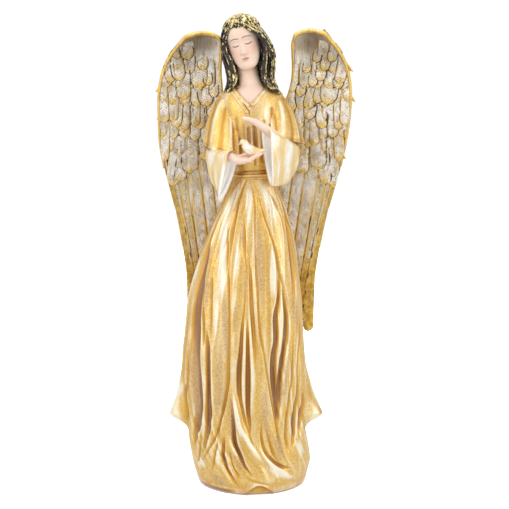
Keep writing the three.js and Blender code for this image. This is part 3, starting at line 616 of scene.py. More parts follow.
# Painted highlights: bright bands where the gown catches the light, in the same order
PAINTED_HIGHLIGHTS = [
    (-20, 303, 3.4, 17, -8), (-30.5, 240, 3.8, 36, -2), (-15.5, 243, 3.0, 28, -3),
    (-3, 297, 3.4, 20, -1), (16.5, 304, 5.4, 18, 8), (20.5, 231, 2.8, 22, -1),
    (-18, 190, 2.6, 28, -1), (-36.5, 186, 2.4, 24, -1), (0.5, 126, 3.6, 20, 1), (-36, 44, 2.8, 17, 2),
    (-15, 38, 4.4, 10, 6), (50, 43, 3.8, 9, 3), (-53, 28, 4, 7, 3), (-72, 96, 2.6, 17, -3),
    (62, 92, 2.4, 15, 3), (38, 140, 1.8, 60, 4), (2, 262, 1.4, 26, 1), (-16, 80, 2.4, 24, 5),
    (48, 262, 2.0, 40, 6), (-55, 240, 1.8, 36, -8), (30, 20, 8, 9, 14), (47, 150, 1.8, 34, -1),
]


def bands(marks, x, z):
    """How far each place on the gown lies inside any of the marks, 0 to 1."""
    total = np.zeros(np.broadcast(x, z).shape)
    for middle, height, half_width, half_height, lean in marks:
        down = (height - z) / half_height
        inside = bell(x - middle - lean * down, half_width) * np.exp(-np.abs(down) ** 2.4)
        total = np.maximum(total, inside)
    return total


def fold_rows(run):
    """A fold's rows in full, from the lowest up: height, x, two half widths and depth."""
    full = []
    for height, x, *rest in run:
        if len(rest) == 2:
            rest = [rest[0], *rest]
        full.append((height, x, *(rest or FOLD_END)))
    return sorted(full)


def back_folds():
    """Folds on the back: top and bottom height, angle at both ends, half width, depth."""
    for i in range(12):
        angle = 103 + 14 * i + 3.5 * math.sin(2.1 * i)
        sway = 5 * math.cos(1.7 * i)
        width = 4.4 + 1.5 * math.sin(1.3 * i + 1)
        yield 312 - 14 * (i % 4), (56, 84, 40)[i % 3], angle, angle + sway, width, 3.2 + 0.8 * (i % 3)
    for i in range(11):
        angle = 100 + 15.5 * i + 5 * math.sin(2.7 * i + 2)
        width = 4 + 1.6 * math.sin(1.9 * i)
        yield 56, 4 + 5 * (i % 3), angle, angle + 9 * math.sin(1.3 * i), width, 1.7 + 0.6 * (i % 3)


def fold_depths(x, z, angle, radius):
    """How deep the folds cut, and how high the ridges stand, at each place on the gown."""
    shape = np.broadcast(x, z).shape
    cuts, ridges = np.zeros(shape), np.zeros(shape)
    front = smooth((np.cos(angle) + 0.02) / 0.14)
    for run, flatness in FRONT_FOLDS:
        rows = fold_rows(run)
        centre, left, right, depth = np.moveaxis(track(rows)(z), -1, 0)
        inside = (z > rows[0][0]) & (z < rows[-1][0])
        offset = x - centre
        width = np.maximum(np.where(offset < 0, left, right), 0.5)
        profile = np.exp(-np.abs(offset / width) ** flatness) * inside * front
        cuts = cuts + np.maximum(depth * profile, 0) ** 3
        ridges = np.maximum(ridges, -depth * profile)
    for top, bottom, start, end, width, depth in back_folds():
        t = (top - z) / (top - bottom)
        centre = np.radians(mix(start, end, t))
        turn = (angle - centre + math.pi) % TURN - math.pi
        ease = smooth(t / 0.35) * smooth((1 - t) / 0.25) * (t > 0) * (t < 1)
        cuts = cuts + (depth * ease * bell(turn * radius, width)) ** 3
    return np.cbrt(cuts), ridges


# The overskirt ends well above the ground, with a corner at each side, as (angle, length)
OVERSKIRT_HEM, CORNER_HEIGHT, CORNER_TOP = 66, 75, 132
CORNERS = ((-88, 17), (90, 18))


def overskirt(angle, z):
    """How far the overskirt stands out of the gown: a step behind, and a corner at each side."""
    behind = smooth((np.abs(angle) - math.radians(78)) / math.radians(12))
    above = smooth((z - OVERSKIRT_HEM) / 2.4) * smooth((300 - z) / 60)
    reach = 1.6 * behind * above
    for corner, length in CORNERS:
        rise = np.clip((CORNER_TOP - z) / (CORNER_TOP - CORNER_HEIGHT), 0, 1)
        fall = smooth((z - OVERSKIRT_HEM + 8) / (CORNER_HEIGHT - OVERSKIRT_HEM + 8))
        reach = reach + length * rise**1.7 * fall * bell(angle - math.radians(corner), math.radians(9))
    return reach


ARCH = {"x": 7.4, "half_width": 19, "height": 10}


def hem_arch(x, z):
    """The hem lifts in a low arch at the front: how deep the hollow is, the lip around it, and
    the line between them, which is painted as a dark line of shade."""
    across = np.clip((x - ARCH["x"]) / ARCH["half_width"], -1, 1)
    top = ARCH["height"] * np.cos(across * math.pi / 2) ** 2 - 0.3
    hollow = 3.0 * smooth((top - z) / 1.3)
    brim = 0.6 * bell(z - top - 1.6, 2.2) * smooth(top / 3)
    return hollow, brim, bell(z - top, 0.7)


# Fine folds between the carved ones, as (number around, drift, height wave, strength)
FINE_FOLDS = [(17, 0.3, 52, 1.0), (29, 2.1, 37, 0.9), (43, 4.0, 61, 0.55)]


def fine_folds(angle, z):
    flow = angle - 0.75 * np.clip(1 - z / 120, 0, 1) ** 2
    total = 0 * flow * z
    for count, drift, wave, strength in FINE_FOLDS:
        fade = 0.5 + 0.5 * np.sin(z / wave + 3 * flow + drift)
        crest = 1 - np.abs(np.sin(0.5 * count * flow + 1.3 * np.sin(z / 75 + drift)))
        total = total + strength * fade * (crest**2 - 0.35)
    return total * smooth((z - 5) / 22) * smooth((328 - z) / 30)


def gown_wear_and_light(x, z, angle, cuts, ridges, fine, hollow, seam, corner):
    """Where the gown is brown with patina and painted shade, where it is aged, and where it has painted
    highlights.
    """
    front = np.cos(angle) > 0
    aged = bands(AGED, x, z) * front + 0.4 * ~front * smooth(np.sin(5 * angle + z / 30))
    # painted shade along the bottom of the hem, and under its lifted left front
    under = smooth((1.4 - z) / 1.2) + 0.9 * smooth((5.5 - z) / 2) * smooth((-16 - x) / 12)
    # brown in the folds is patina and painted shade; the arch's hollow and the line under its lip are
    # painted shade
    patina = np.clip(cuts / 4.4, 0, 1.2) + under + 0.03 * hollow + 0.9 * seam
    # more patina and painted shade in the valleys of the fine folds, darker towards the bottom, and a
    # little at the corners
    patina = patina + 0.3 * smooth(-fine / 0.7) + 0.32 * smooth((20 - z) / 14) + 0.1 * corner
    # painted highlights on the crests of the fine folds, on the ridges, higher up the gown and in the
    # listed bands, none where it is aged
    rub = 0.6 * smooth(fine / 1.1) * smooth((330 - z) / 60) + 0.7 * ridges + 0.3 * smooth((z - 225) / 50)
    rub = (rub + bands(PAINTED_HIGHLIGHTS, x, z) * front) * smooth((z - 5) / 5) - 1.5 * aged - 0.25 * cuts
    return {"patina": patina, "aged": aged, "rub": rub}


def gown(material):
    columns, rows = ((330, 300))
    t = np.linspace(-1, 1, columns, endpoint=False)
    angle = (math.pi * (0.56 * t + 0.44 * t**3))[None, :]
    lowest = np.array([0.0, 0.4, 1.0, 1.8, 2.8, 4.0])
    z = np.concatenate([lowest, np.linspace(5.1, GOWN_TOP, rows - len(lowest))])[:, None]
    left, right, front, back = at_levels(GOWN_OUTLINE, z)
    half_x, half_y = (right - left) / 2, (back - front) / 2
    squareness = mix(2 / 1.8, 2 / 2.3, smooth(z / 55))
    sin, cos = np.sin(angle), np.cos(angle)
    plain_x = (left + right) / 2 + half_x * np.sign(sin) * np.abs(sin) ** squareness
    plain_y = (front + back) / 2 - half_y * np.sign(cos) * np.abs(cos) ** squareness
    skirt = overskirt(angle, z)
    corner = smooth((skirt - 1.8) / 2.5)
    cuts, ridges = (depth * (1 - corner) for depth in fold_depths(plain_x, z, angle, (half_x + half_y) / 2))
    # seam here is the line under the arch's lip, painted as a dark line of shade
    hollow, brim, seam = (part * (cos > 0.2) for part in hem_arch(plain_x, z))
    slow = 0.5 * np.sin(9 * angle + z / 60) * smooth((z - 4) / 20)
    lip = 0.3 * bell(z - 3.4, 2.4) - 1.5 * smooth((1.6 - z) / 1.6)
    fine = fine_folds(angle, z)
    out = skirt + ridges - cuts + slow + lip + 0.5 + brim - hollow + fine
    out = out * smooth((GOWN_TOP - z) / 14)
    piece = Piece("gown").grid(
        grid_of(plain_x + out * sin, plain_y - out * cos, z),
        **gown_wear_and_light(plain_x, z, angle, cuts, ridges, fine, hollow, seam, corner),
    )
    return piece.build(material, "gilt_resin", relief_steps=40)


# Tunic, collar and belt

# Height, left, right, front and back of the tunic
TUNIC_OUTLINE = track([
    (328, -16, 19.5, -15, 14), (342, -19, 22, -18, 16), (360, -24, 25, -22, 18),
    (378, -28, 28, -25.5, 19), (394, -31, 30.5, -25, 20), (404, -33, 32, -21.5, 19),
    (411, -32, 31, -17, 17), (417, -22, 21, -13, 14), (421, -13, 12, -10, 11),
])
TUNIC_FOOT, TUNIC_TOP = 328, 421
# The V neck from left to right, as (x, z)
NECKLINE = ((-25, 424), (-13, 409), (-2, 400), (8, 409), (19, 424))
# Creases on the chest, as runs of (x, z), with half width and depth
CHEST_CREASES = [
    (((-21, 417), (-13, 405), (-4, 394), (-1, 385)), 1.3, 1.6),
    (((-28, 396), (-28, 378), (-26, 360)), 1.8, 2.2),
    (((20, 398), (21, 384), (19, 372)), 1.6, 1.8),
    (((-16, 388), (-15, 366), (-12, 344)), 1.4, 1.3),
    (((-8, 380), (-7, 362), (-5, 342)), 1.3, 1.2),
    (((3, 376), (4, 358), (4, 340)), 1.3, 1.2),
    (((12, 386), (13, 368), (11, 345)), 1.5, 1.3),
    (((-3.5, 378), (-3, 368), (-4, 352)), 1.6, 2.6),
    (((2.5, 380), (3.5, 368), (4.5, 352)), 1.9, 3),
]


def inside_neckline(x, z):
    """How far each place lies above the neckline."""
    (left_x, top), (bottom_x, bottom), (right_x, _) = NECKLINE[0], NECKLINE[2], NECKLINE[-1]
    side_x = np.where(x < bottom_x, left_x, right_x)
    return z - mix(bottom, top, (x - bottom_x) / (side_x - bottom_x))


def tunic_front(x, z):
    left, right, front, back = np.moveaxis(TUNIC_OUTLINE(z), -1, 0)
    across = np.clip((2 * x - left - right) / (right - left), -0.97, 0.97)
    return (front + back) / 2 - (back - front) / 2 * np.sqrt(1 - across**2)


def on_tunic(places):
    """Stations of a flat band that lies on the front of the tunic."""
    return [(x, float(tunic_front(x, z)) - 0.8, z, width, thickness) for x, z, width, thickness in places]


def tunic(material):
    rows, sides = 110, 200
    z = np.linspace(TUNIC_FOOT, TUNIC_TOP, rows)[:, None]
    angle = around(sides)[None, :]
    left, right, front, back = at_levels(TUNIC_OUTLINE, z)
    x = (left + right) / 2 + (right - left) / 2 * np.sin(angle)
    y = (front + back) / 2 - (back - front) / 2 * np.cos(angle)
    faces_front = smooth(np.cos(angle) / 0.3)
    cuts = np.zeros((rows, sides))
    for run, width, depth in CHEST_CREASES:
        distance, share = line_distance(x, z + 0 * x, run)
        cut = depth * np.exp(-np.abs(distance / width) ** 1.5) * smooth(share / 0.1 + 0.3)
        cuts = np.maximum(cuts, faces_front * cut)
    y = y + cuts + faces_front * 5.5 * smooth(inside_neckline(x, z) / 1.2 + 0.5)
    y = y - (1 - faces_front) * 0.8 * np.sin(11 * angle + z / 17) * smooth((z - 330) / 20)
    chest = bell(x - 1, 22) * smooth((z - 350) / 20) * faces_front
    # Painted highlights on the chest, and patina with painted shade in the creases
    highlight_bands = bell(x + 19, 2.4) * bell(z - 372, 13) + bell(x - 14, 2) * bell(z - 388, 12)
    piece = Piece("tunic").grid(grid_of(x, y, z), aged=0.42 * chest, rub=1.1 * faces_front * highlight_bands,
                                patina=0.32 * cuts)
    seam = ((-20, 417.7), (-16.5, 413.5), *NECKLINE[1:-1], (12, 414), (15.5, 418.5))
    edge = [(x, z, 2.0, 1.0) for x, z in seam]
    flap = [(-20, 413, 1.6, 0.9), (-16, 408, 2, 0.9), (-11, 401.5, 2, 0.9), (-4, 392, 1.5, 0.8)]
    for band, steps in ((edge, 60), (flap, 30)):
        piece.grid(limb(on_tunic(band), X_AXIS, 16, steps), aged=0.3, patina=0.24, rub=-0.5)
    return piece.build(material, "gilt_resin", relief_steps=30)


WAIST = {"x": 2, "y": -0.5, "z": 329, "half_width": 19.6, "half_depth": 16.4}


def belt(material):
    turn = around(120)[:, None]
    profile = around(28)[None, :]
    cords = np.cos(7 * profile)
    out = 2.1 * np.cos(profile) * (1 + 0.2 * cords)
    x = WAIST["x"] + (WAIST["half_width"] + out) * np.sin(turn)
    y = WAIST["y"] - (WAIST["half_depth"] + out) * np.cos(turn)
    slope = 1.2 * np.sin(turn + 0.6) - np.cos(turn)
    loops = grid_of(x, y, WAIST["z"] + 4.4 * np.sin(profile) + slope)
    loops = np.concatenate([loops, loops[:1]])
    # Darker in the grooves between the cords: patina and painted shade
    piece = Piece("belt").grid(loops, caps=False, patina=0.24 - 0.16 * cords)
    return piece.build(material, "gilt_resin", relief_steps=8)


def wide_sleeve(side, rows, name, material):
    """The tunic's wide sleeve, which falls from the shoulder over the bent arm. Rows run down to
    its hem as (x, y, z, half length, half thickness, tilt)."""
    rings, sides = 70, 120
    lean = unit(np.array([-0.74 * side, -0.67, 0.0]))
    out = np.array([-lean[1], lean[0], 0.0])
    values = numbered(rows)(np.linspace(0, len(rows) - 1, rings))
    x, y, z, length, thickness, tilt = (values[:, i][:, None, None] for i in range(6))
    centre = np.concatenate([x * side, y, z], axis=-1)
    angle = around(sides)[None, :, None]
    down = np.linspace(0, 1, rings)[:, None, None]
    gather = 1 + np.cos(7 * angle + 2.6 * down + side + 0.8 * np.sin(3 * angle))
    folds = 1 - 0.06 * smooth(down / 0.4) * gather * (0.5 + 0.5 * down)
    half = lean * length + np.array(Z_AXIS) * tilt
    points = centre + np.cos(angle) * folds * half + np.sin(angle) * folds * (out * thickness)
    hem = points[-1:]
    middle = hem.mean(axis=1, keepdims=True)
    inside = [middle + (hem - middle) * share + np.array([0, 0, lift])
              for share, lift in ((0.99, -1.0), (0.9, 0.0), (0.55, 5.0))]
    points = np.concatenate([points, *inside])
    gather, down = gather[..., 0], down[..., 0]
    patina, rub = np.zeros(points.shape[:2]), np.zeros(points.shape[:2])
    hem_from, dull_from, inside_from = rings - 5, rings - 8, rings + 1
    # A little darker at the hem, painted shade inside the sleeve, patina and painted shade in the valleys
    # of the gathers, and painted highlights on their crests but not near the hem
    patina[hem_from:] = 0.3
    patina[inside_from:] = 0.6
    patina[:rings] += 0.5 * smooth((gather - 1.5) / 0.5) * smooth(down / 0.5)
    rub[:rings] = 0.75 * smooth((0.45 - gather) / 0.45) * smooth(down / 0.3)
    rub[dull_from:] = -1
    piece = Piece(name).grid(points, patina=patina, rub=rub)
    return piece.build(material, "gilt_resin", relief_steps=30)


LEFT_WIDE = [
    (20, 1, 413, 9, 9, 0), (26, -1, 402, 13, 12, 0), (29.5, -5, 387, 17, 13.5, -1),
    (31, -11, 370, 21, 13.5, -3), (31.5, -16, 355.5, 24, 12.5, -6),
]
RIGHT_WIDE = [
    (19, 1, 413, 9, 9, 0), (25, -1, 402, 13, 12, 0), (30, -5, 388, 17, 13.5, 1),
    (34, -11, 374, 20, 13, 3), (36, -15, 364, 22, 12, 4),
]


# Bell sleeves, hands and dove

# Rings that close a sleeve's mouth, as (how far inside its edge, how far back). The first two
# are the cloth's own edge, and the others its lining.
MOUTH_RINGS = ((0.7, -0.04), (1.5, -0.04), (3.0, -0.01), (4.6, 0.03), (6.2, 0.09), (7.4, 0.2), (8.6, 0.45))
EDGE_RINGS = 2


def bell_sleeve(rows, across, hem, name, material):
    """A sleeve that hangs from the forearm and opens to the front, with a white lining. Rows run
    to its mouth as (x, y, z, half width, drop, swing), and hem is how wide the lining turns out."""
    shape = numbered(rows)
    wide = unit(np.array(across, float))
    angle = around(120)[None, :]
    up, side_on = np.sin(angle), np.cos(angle)
    low = np.maximum(0, -up)
    across_mouth = np.sign(side_on) * np.abs(side_on) ** mix(1.0, 0.72, low)

    def crest(t):
        return np.cos(5.0 * t[:, None] + 1.4 * low + 0.7 * np.sin(3 * low)) * smooth(low / 0.4)

    def rings(t, inset):
        x, y, z, width, drop, swing = (shape(t)[..., i][:, None] for i in range(6))
        rise = np.where(up > 0, 6 * up, (drop - inset) * up)
        side = (width - inset * 0.6) * across_mouth * (1 - 0.2 * low**3) + 1.3 * crest(t) * side_on
        return grid_of(x + swing * low**1.5, y, z + rise) + side[..., None] * wide

    end = float(len(rows) - 1)
    steps = np.linspace(0, end, 60)
    points = np.concatenate([rings(steps, 0.0)]
                            + [rings(np.array([end - back]), inset) for inset, back in MOUTH_RINGS])
    lining, gild = np.ones(points.shape[:2]), np.zeros(points.shape[:2])
    outside, edge = slice(0, len(steps)), slice(len(steps), len(steps) + EDGE_RINGS)
    lining[outside] = smooth((steps[:, None] - end + hem) / 0.06) * smooth(low / 0.3)
    lining[edge] = 0.0
    gild[:] = 0.05 + 0.35 * low**2
    gild[outside] += 0.35 * smooth((1.9 - steps[:, None]) / 1.2) - 0.5 * crest(steps)
    gild[edge] = 0.5
    piece = Piece(name).grid(points, lining=lining, gild=gild)
    return piece.build(material, "pearl_sleeves", relief_steps=30)


LEFT_BELL = [
    (-44.5, -9, 350, 7, 12, 0), (-41, -14, 350, 11, 32, 3), (-35, -22, 350, 12.5, 42, 3),
    (-28, -31, 349.5, 13, 46.5, -4), (-20, -38, 349, 13.5, 47, -13),
]
RIGHT_BELL = [
    (46, -8, 353, 7, 10, 0), (43, -14, 355, 11, 25, -1), (36, -23, 359, 13, 38, -1),
    (26, -34.5, 365.5, 13, 46, 0), (14, -43, 373.5, 11.5, 53, 5),
]


def hand(piece, forearm, wrist, palm, knuckles, tips, spread, thumb):
    """A forearm and a hand, with four fingers side by side and a thumb."""
    stations = [(*forearm, 5.5, 5.5), (*wrist, 5.4, 4.6), (*palm, 7.4, 4.0), (*knuckles, 7.4, 3.1)]
    piece.grid(limb(stations, Y_AXIS, 28, 30))
    knuckles, tips = np.array(knuckles, float), np.array(tips, float)
    for place in (-1.5, -0.5, 0.5, 1.5):
        reach = 1 - 0.1 * abs(place + 0.4)

        def joint(share, bend, width, thickness):
            middle = mix(knuckles, tips, share) + np.array([0, place * spread, bend])
            return (*middle, width, thickness)

        finger = [
            joint(-0.18, 0, 1.9, 2.1), joint(0, 0, 2.15, 2.35), joint(0.45 * reach, 0.7, 1.85, 2.0),
            joint(0.8 * reach, 0.35, 1.6, 1.75), joint(reach, 0, 0.8, 0.9),
        ]
        piece.grid(limb(finger, Y_AXIS, 14, 20))
    piece.grid(limb(thumb, Y_AXIS, 14, 16))


# The lower hand, which cradles the dove, and the upper hand, which shields it
HANDS = [
    {"forearm": (-33, -27, 349.5), "wrist": (-20, -39, 348.2), "palm": (-12, -47, 346),
     "knuckles": (-2, -51, 347.4), "tips": (11.5, -53, 354.5), "spread": 3.7,
     "thumb": [(-14, -42, 348.5, 2.4, 2.4), (-5, -40, 351.5, 2.1, 2.1), (1, -42, 353.5, 1.1, 1.1)]},
    {"forearm": (29, -32, 364), "wrist": (17, -44, 374.5), "palm": (9, -49, 380),
     "knuckles": (2, -51, 385), "tips": (-10, -53, 388), "spread": 3.4,
     "thumb": [(10, -44, 380, 2.4, 2.4), (3, -42, 383, 2, 2), (-3, -43, 384, 1.1, 1.1)]},
]


def hands(material):
    piece = Piece("hands")
    for places in HANDS:
        hand(piece, **places)
    return piece.build(material, "painted_skin", relief_steps=10)


def dove(material):
    """A small dove, from its beak to its tail, with four feathers in each folded wing."""
    piece = Piece("dove")
    body = [
        (-13.2, -52, 362.2, 0.3, 0.3), (-11.6, -52, 362.9, 1.2, 1.1), (-10, -52, 364, 3, 3.2),
        (-7.5, -52, 363.5, 3.6, 3.8), (-5, -52, 359.5, 4.8, 4.6), (1, -52, 356, 5.6, 5),
        (8, -52, 356, 4, 2.6), (14.5, -52, 357, 3.8, 1.1),
    ]
    piece.grid(limb(body, Y_AXIS, 24, 44))
    for y in (-57, -47):
        for i in range(4):
            drop = 1.15 * i
            quill = [(-5 + i, y, 358.4 - drop * 0.6, 1.2, 0.8), (2 + i, y * 1.01, 357.2 - drop, 2.1, 1.2),
                     (11 - i * 1.4, y, 356.4 - drop, 0.5, 0.4)]
            piece.grid(limb(quill, Z_AXIS, 12, 16), gild=0.3)
    return piece.build(material, "pearl_sleeves", relief_steps=8)


# Head, neck and hair

# The head is shaped upright in its own frame, then tilted and set in place
HEAD_MIDDLE = (-9, -2, 463)
HEAD_TURN = (
    Matrix.Translation(HEAD_MIDDLE)
    @ Matrix.Rotation(math.radians(-16), 4, "Y")
    @ Matrix.Rotation(math.radians(8), 4, "X")
    @ Matrix.Rotation(math.radians(-6), 4, "Z")
)


def on_head(points):
    matrix = np.array(HEAD_TURN)
    return points @ matrix[:3, :3].T + matrix[:3, 3]


# Height, half width, front and back of the head
HEAD_OUTLINE = track([
    (-26, 5, -17, -9), (-24, 8.5, -19.8, -4), (-19, 12, -20.2, 4), (-12, 14.6, -20.4, 12),
    (0, 16.6, -19.6, 20), (10, 17, -20.8, 22.5), (18, 14.8, -17.4, 20), (23.5, 9.5, -10.5, 13),
    (26, 3, -2, 5),
])
HEAD_HALF_HEIGHT = 26
EYE = {"x": 6.6, "z": 0.4}
MOUTH_Z = -14.5


def face_relief(x, z):
    """How far the face stands out at a place in the head's own frame."""
    ax = np.abs(x)
    off_eye, over_eye = ax - EYE["x"], z - EYE["z"]
    over_mouth = z - MOUTH_Z
    bridge = np.clip((4 - z) / 12.5, 0, 1) * smooth((z + 12) / 3.5)
    nose = 4.4 * bridge * bell(x, mix(1.9, 2.9, bridge))
    wings = 1.1 * bell(ax - 2.9, 1.5) * bell(z + 8.3, 1.9)
    socket = -1.9 * bell(off_eye, 4.6) * bell(over_eye - 0.6, 3.6)
    lid = 1.7 * bell(off_eye, 3.4) * bell(over_eye, 2.2)
    lid_fold = -0.5 * bell(off_eye, 3.6) * bell(over_eye - 2.4 + 0.05 * off_eye**2, 0.55)
    lash_step = -0.5 * bell(off_eye, 3.0) * bell(over_eye + 1.5 - 0.07 * off_eye**2, 0.5)
    brow = 0.8 * bell(ax - 6.2, 5.2) * bell(z - 5.2, 2.2)
    cheek = 0.8 * bell(ax - 9.5, 4.5) * bell(z + 7, 5)
    upper = 1.0 * bell(x, 3.2) * bell(over_mouth - 1.1 + 0.05 * ax, 1.1)
    lower = 1.1 * bell(x, 2.8) * bell(over_mouth + 1.4, 1.25)
    parting = -0.7 * bell(x, 4.0) * bell(over_mouth, 0.5)
    groove = -0.4 * bell(x, 1.0) * bell(z + 11.6, 1.3)
    chin = 1.2 * bell(x, 4.0) * bell(z + 21.5, 3.0)
    under_lip = -0.7 * bell(x, 4.5) * bell(z + 18, 1.5)
    return (nose + wings + socket + lid + lid_fold + lash_step + brow + cheek + upper + lower
            + parting + groove + chin + under_lip)


def face_paint(x, z):
    """Painted lines, lips and blush at a place in the head's own frame."""
    ax = np.abs(x)
    off_eye, over_mouth = ax - EYE["x"], z - MOUTH_Z
    lash_line = z - EYE["z"] + 1.5 - 0.085 * off_eye**2
    lash = bell(lash_line, 0.52) * smooth((3.9 - np.abs(off_eye)) / 0.8)
    brow_line = z - 6.9 + 0.055 * (ax - 5.6) ** 2
    brow = 0.95 * bell(brow_line, 0.52) * smooth((5.4 - np.abs(ax - 6.4)) / 1.6)
    parting = 0.55 * bell(over_mouth + 0.05 * ax**2, 0.35) * smooth((3.7 - ax) / 0.8)
    lip_height = np.abs(over_mouth + 0.1)
    lip_half = 3.9 * (1 - np.clip(lip_height / 2.2, 0, 1) ** 2)
    lips = 0.85 * smooth((lip_half - ax) / 0.9 + 0.3) * smooth((2.1 - lip_height) / 0.6)
    blush = bell(ax - 10, 4.6) * bell(z + 6.5, 5.2) + 0.25 * bell(x, 2.5) * bell(z + 8, 3)
    line = np.maximum(np.maximum(lash, brow), parting)
    return {"line": line, "lips": lips, "blush": np.clip(blush, 0, 1)}


def head(material):
    rows, columns = 190, 220
    z = np.linspace(-HEAD_HALF_HEIGHT, HEAD_HALF_HEIGHT, rows)[:, None]
    t = np.linspace(-1, 1, columns, endpoint=False)
    angle = (math.pi * (0.6 * t + 0.4 * t**3))[None, :]
    half, front, back = at_levels(HEAD_OUTLINE, z)
    x = half * np.sin(angle)
    y = (front + back) / 2 - (back - front) / 2 * np.cos(angle)
    faces_front = smooth((np.cos(angle) + 0.1) / 0.4)
    points = grid_of(x, y - face_relief(x, z) * faces_front, z)
    paint = {name: amount * faces_front for name, amount in face_paint(x, z).items()}
    piece = Piece("head").grid(on_head(points), **paint)
    neck = [(-7, 4, 449, 9.2, 9.5), (-5, 1.5, 437, 9.6, 9.6), (-3, 0, 427, 10.2, 10),
            (-1.5, -1, 418, 12.5, 11.5), (-1, -4.2, 408, 18.5, 14.2), (-1, -8, 396, 17, 14)]
    piece.grid(limb(neck, X_AXIS, 72, 60))
    return piece.build(material, "painted_skin", relief_steps=24)


# Height, half width, front and back of the hair on the crown, in the head's own frame
HAIR_OUTLINE = track([
    (-9, 17.5, -6, 26), (1, 19.2, -10, 27), (11, 19.4, -15, 26.5), (18, 17.2, -18.5, 23.5),
    (24, 12, -14, 16), (27.6, 4.8, -5, 7),
])
HAIR_FOOT, HAIR_TOP = -9, 27.6
HAIR_MIDDLE = 0.8
PARTING = {"x": -4.5, "z": 17.5}
# Locks as (x, y, z, half width, half thickness), from the parting outwards
LOCKS = [
    [(-18.5, -20, 480, 2, 2.5), (-26, -15.5, 468, 2.2, 3), (-27.6, -13, 456, 2.2, 3),
     (-24.4, -11.5, 446, 2.6, 3.4), (-19.5, -10, 437, 3, 3.6), (-17, -9, 428, 3, 3.6),
     (-19.5, -9, 420, 2.4, 3), (-25, -10, 413, 1, 1.5)],
    [(-22, -14, 482, 3, 4), (-28, -8, 470, 2.6, 6), (-29.3, -5, 456, 2.4, 7), (-28, -3, 446, 2.6, 7),
     (-24.5, -2, 436, 3, 7), (-22.5, -2, 427, 3, 6), (-24.5, -4, 419, 2.6, 4.5),
     (-28, -6, 412, 1.2, 2)],
    [(-17, -20, 481, 2, 2.5), (-9, -21.5, 479, 2.4, 3), (-1, -21, 475, 2.5, 3.2),
     (7.6, -18.5, 469, 2.4, 3.6), (12.6, -15, 460, 2.3, 4), (14, -12.5, 450, 2.4, 4),
     (12, -11.5, 441, 2.8, 4), (11.5, -11, 433, 3, 4), (13.5, -11, 425, 3, 4),
     (20, -12, 417.5, 2.6, 3.2), (29, -11, 411.5, 1.1, 1.6)],
    [(-10, -14, 483, 3, 4), (4, -11, 475, 3, 5), (13, -7, 463, 3, 6), (18.5, -5, 451, 3.2, 6.5),
     (19.5, -4, 441, 3, 6.5), (18.5, -4, 432, 3, 6), (19, -5, 424, 3, 5.5), (24, -7, 416, 2.4, 4),
     (29.5, -8, 411, 1.2, 2)],
    [(-5, -3, 485, 4, 6), (8, 1, 474, 3.5, 8), (17, 3, 462, 3, 9), (21, 4, 450, 2.6, 9),
     (22, 5, 438, 2.4, 9), (21, 5, 428, 2.4, 8), (24, 3, 418, 2.2, 5), (28, 0, 411, 1.2, 3)],
]
# The long hair down the back, in the same order
BACK_HAIR = [
    (-14, 5, 480, 14, 15), (-9, 11, 470, 21, 15), (-4, 15, 448, 23, 12), (-1, 15, 430, 23, 10),
    (0, 16, 412, 25, 8), (0, 19, 398, 17, 4),
]


def strands(piece, rows, share, size, leaf):
    """A thinner lock that rides on a lock, at a share of its half width from its middle."""
    thinner = []
    for i, (x, y, z, width, thickness) in enumerate(rows):
        wander = share + 0.34 * math.sin(1.7 * i + 5 * share)
        thinner.append((x + wander * width, y - thickness * (1 - 0.45 * wander * wander) + 0.6, z,
                        width * size, width * size * 0.9))
    piece.grid(limb(thinner, X_AXIS, 16, 90, strands=3, depth=0.16, twist=3 * share), leaf=leaf)


def hair(material):
    piece = Piece("hair")
    z = np.linspace(HAIR_FOOT, HAIR_TOP, 110)[:, None]
    half, front, back = at_levels(HAIR_OUTLINE, z)
    angle = around(240)[None, :]
    strand = 0.55 * np.sin(30 * angle + 2.5 * np.sin(z / 7)) + 0.4 * np.sin(47 * angle - 3 * np.sin(z / 9))
    half, deep = half + strand, (back - front) / 2 + strand
    x = HAIR_MIDDLE + half * np.cos(angle)
    y = (front + back) / 2 + deep * np.sin(angle)
    off = x - PARTING["x"]
    hairline = PARTING["z"] - np.where(off < 0, 0.22 * off**2, 0.12 * off**2)
    bare = smooth((hairline - z) / 1.4 + 0.5) * smooth((-2 - y) / 4)
    x, y = mix(x, HAIR_MIDDLE, 0.3 * bare), y + 9 * bare
    cap = on_head(grid_of(x, y, z))
    crown = 0.4 * smooth((cap[..., 2] - 466) / 12)
    piece.grid(cap, leaf=0.05 + crown - 1.3 * bell(z - hairline - 1, 2.6) * (y < 0))
    long = limb(BACK_HAIR, X_AXIS, 220, 110, strands=24, depth=0.085, twist=0.35)
    piece.grid(long, leaf=0.12 + 0.4 * smooth((long[..., 2] - 446) / 26))
    for n, rows in enumerate(LOCKS):
        lock = limb(rows, X_AXIS, 48, 100, strands=5, depth=0.14, twist=0.9 if n % 2 else -0.8)
        crown = smooth((lock[..., 2] - 466) / 14)
        piece.grid(lock, leaf=-0.1 + 0.55 * crown + 0.36 * smooth((441 - lock[..., 2]) / 10))
        for share, size, leaf in ((-0.62, 0.3, 0.1), (0.05, 0.26, -0.4), (0.62, 0.34, 0.4)):
            strands(piece, rows, share, size, leaf)
    return piece.build(material, "painted_hair", relief_steps=14)


# Wings

# Height, then the distance of the inner and the outer edge from the wings' axis
WING_OUTLINE = track([
    (290, 20, 82), (308, 19.5, 86.6), (331, 18, 92.4), (352, 19, 96.7), (373, 22, 99.4),
    (392, 27.5, 101.1), (409, 35.5, 101.4), (425, 39.2, 99.6), (439, 39.8, 95.8), (450, 39.2, 90.5),
    (459, 38.5, 84.3), (468, 40, 76), (477, 44, 70),
])
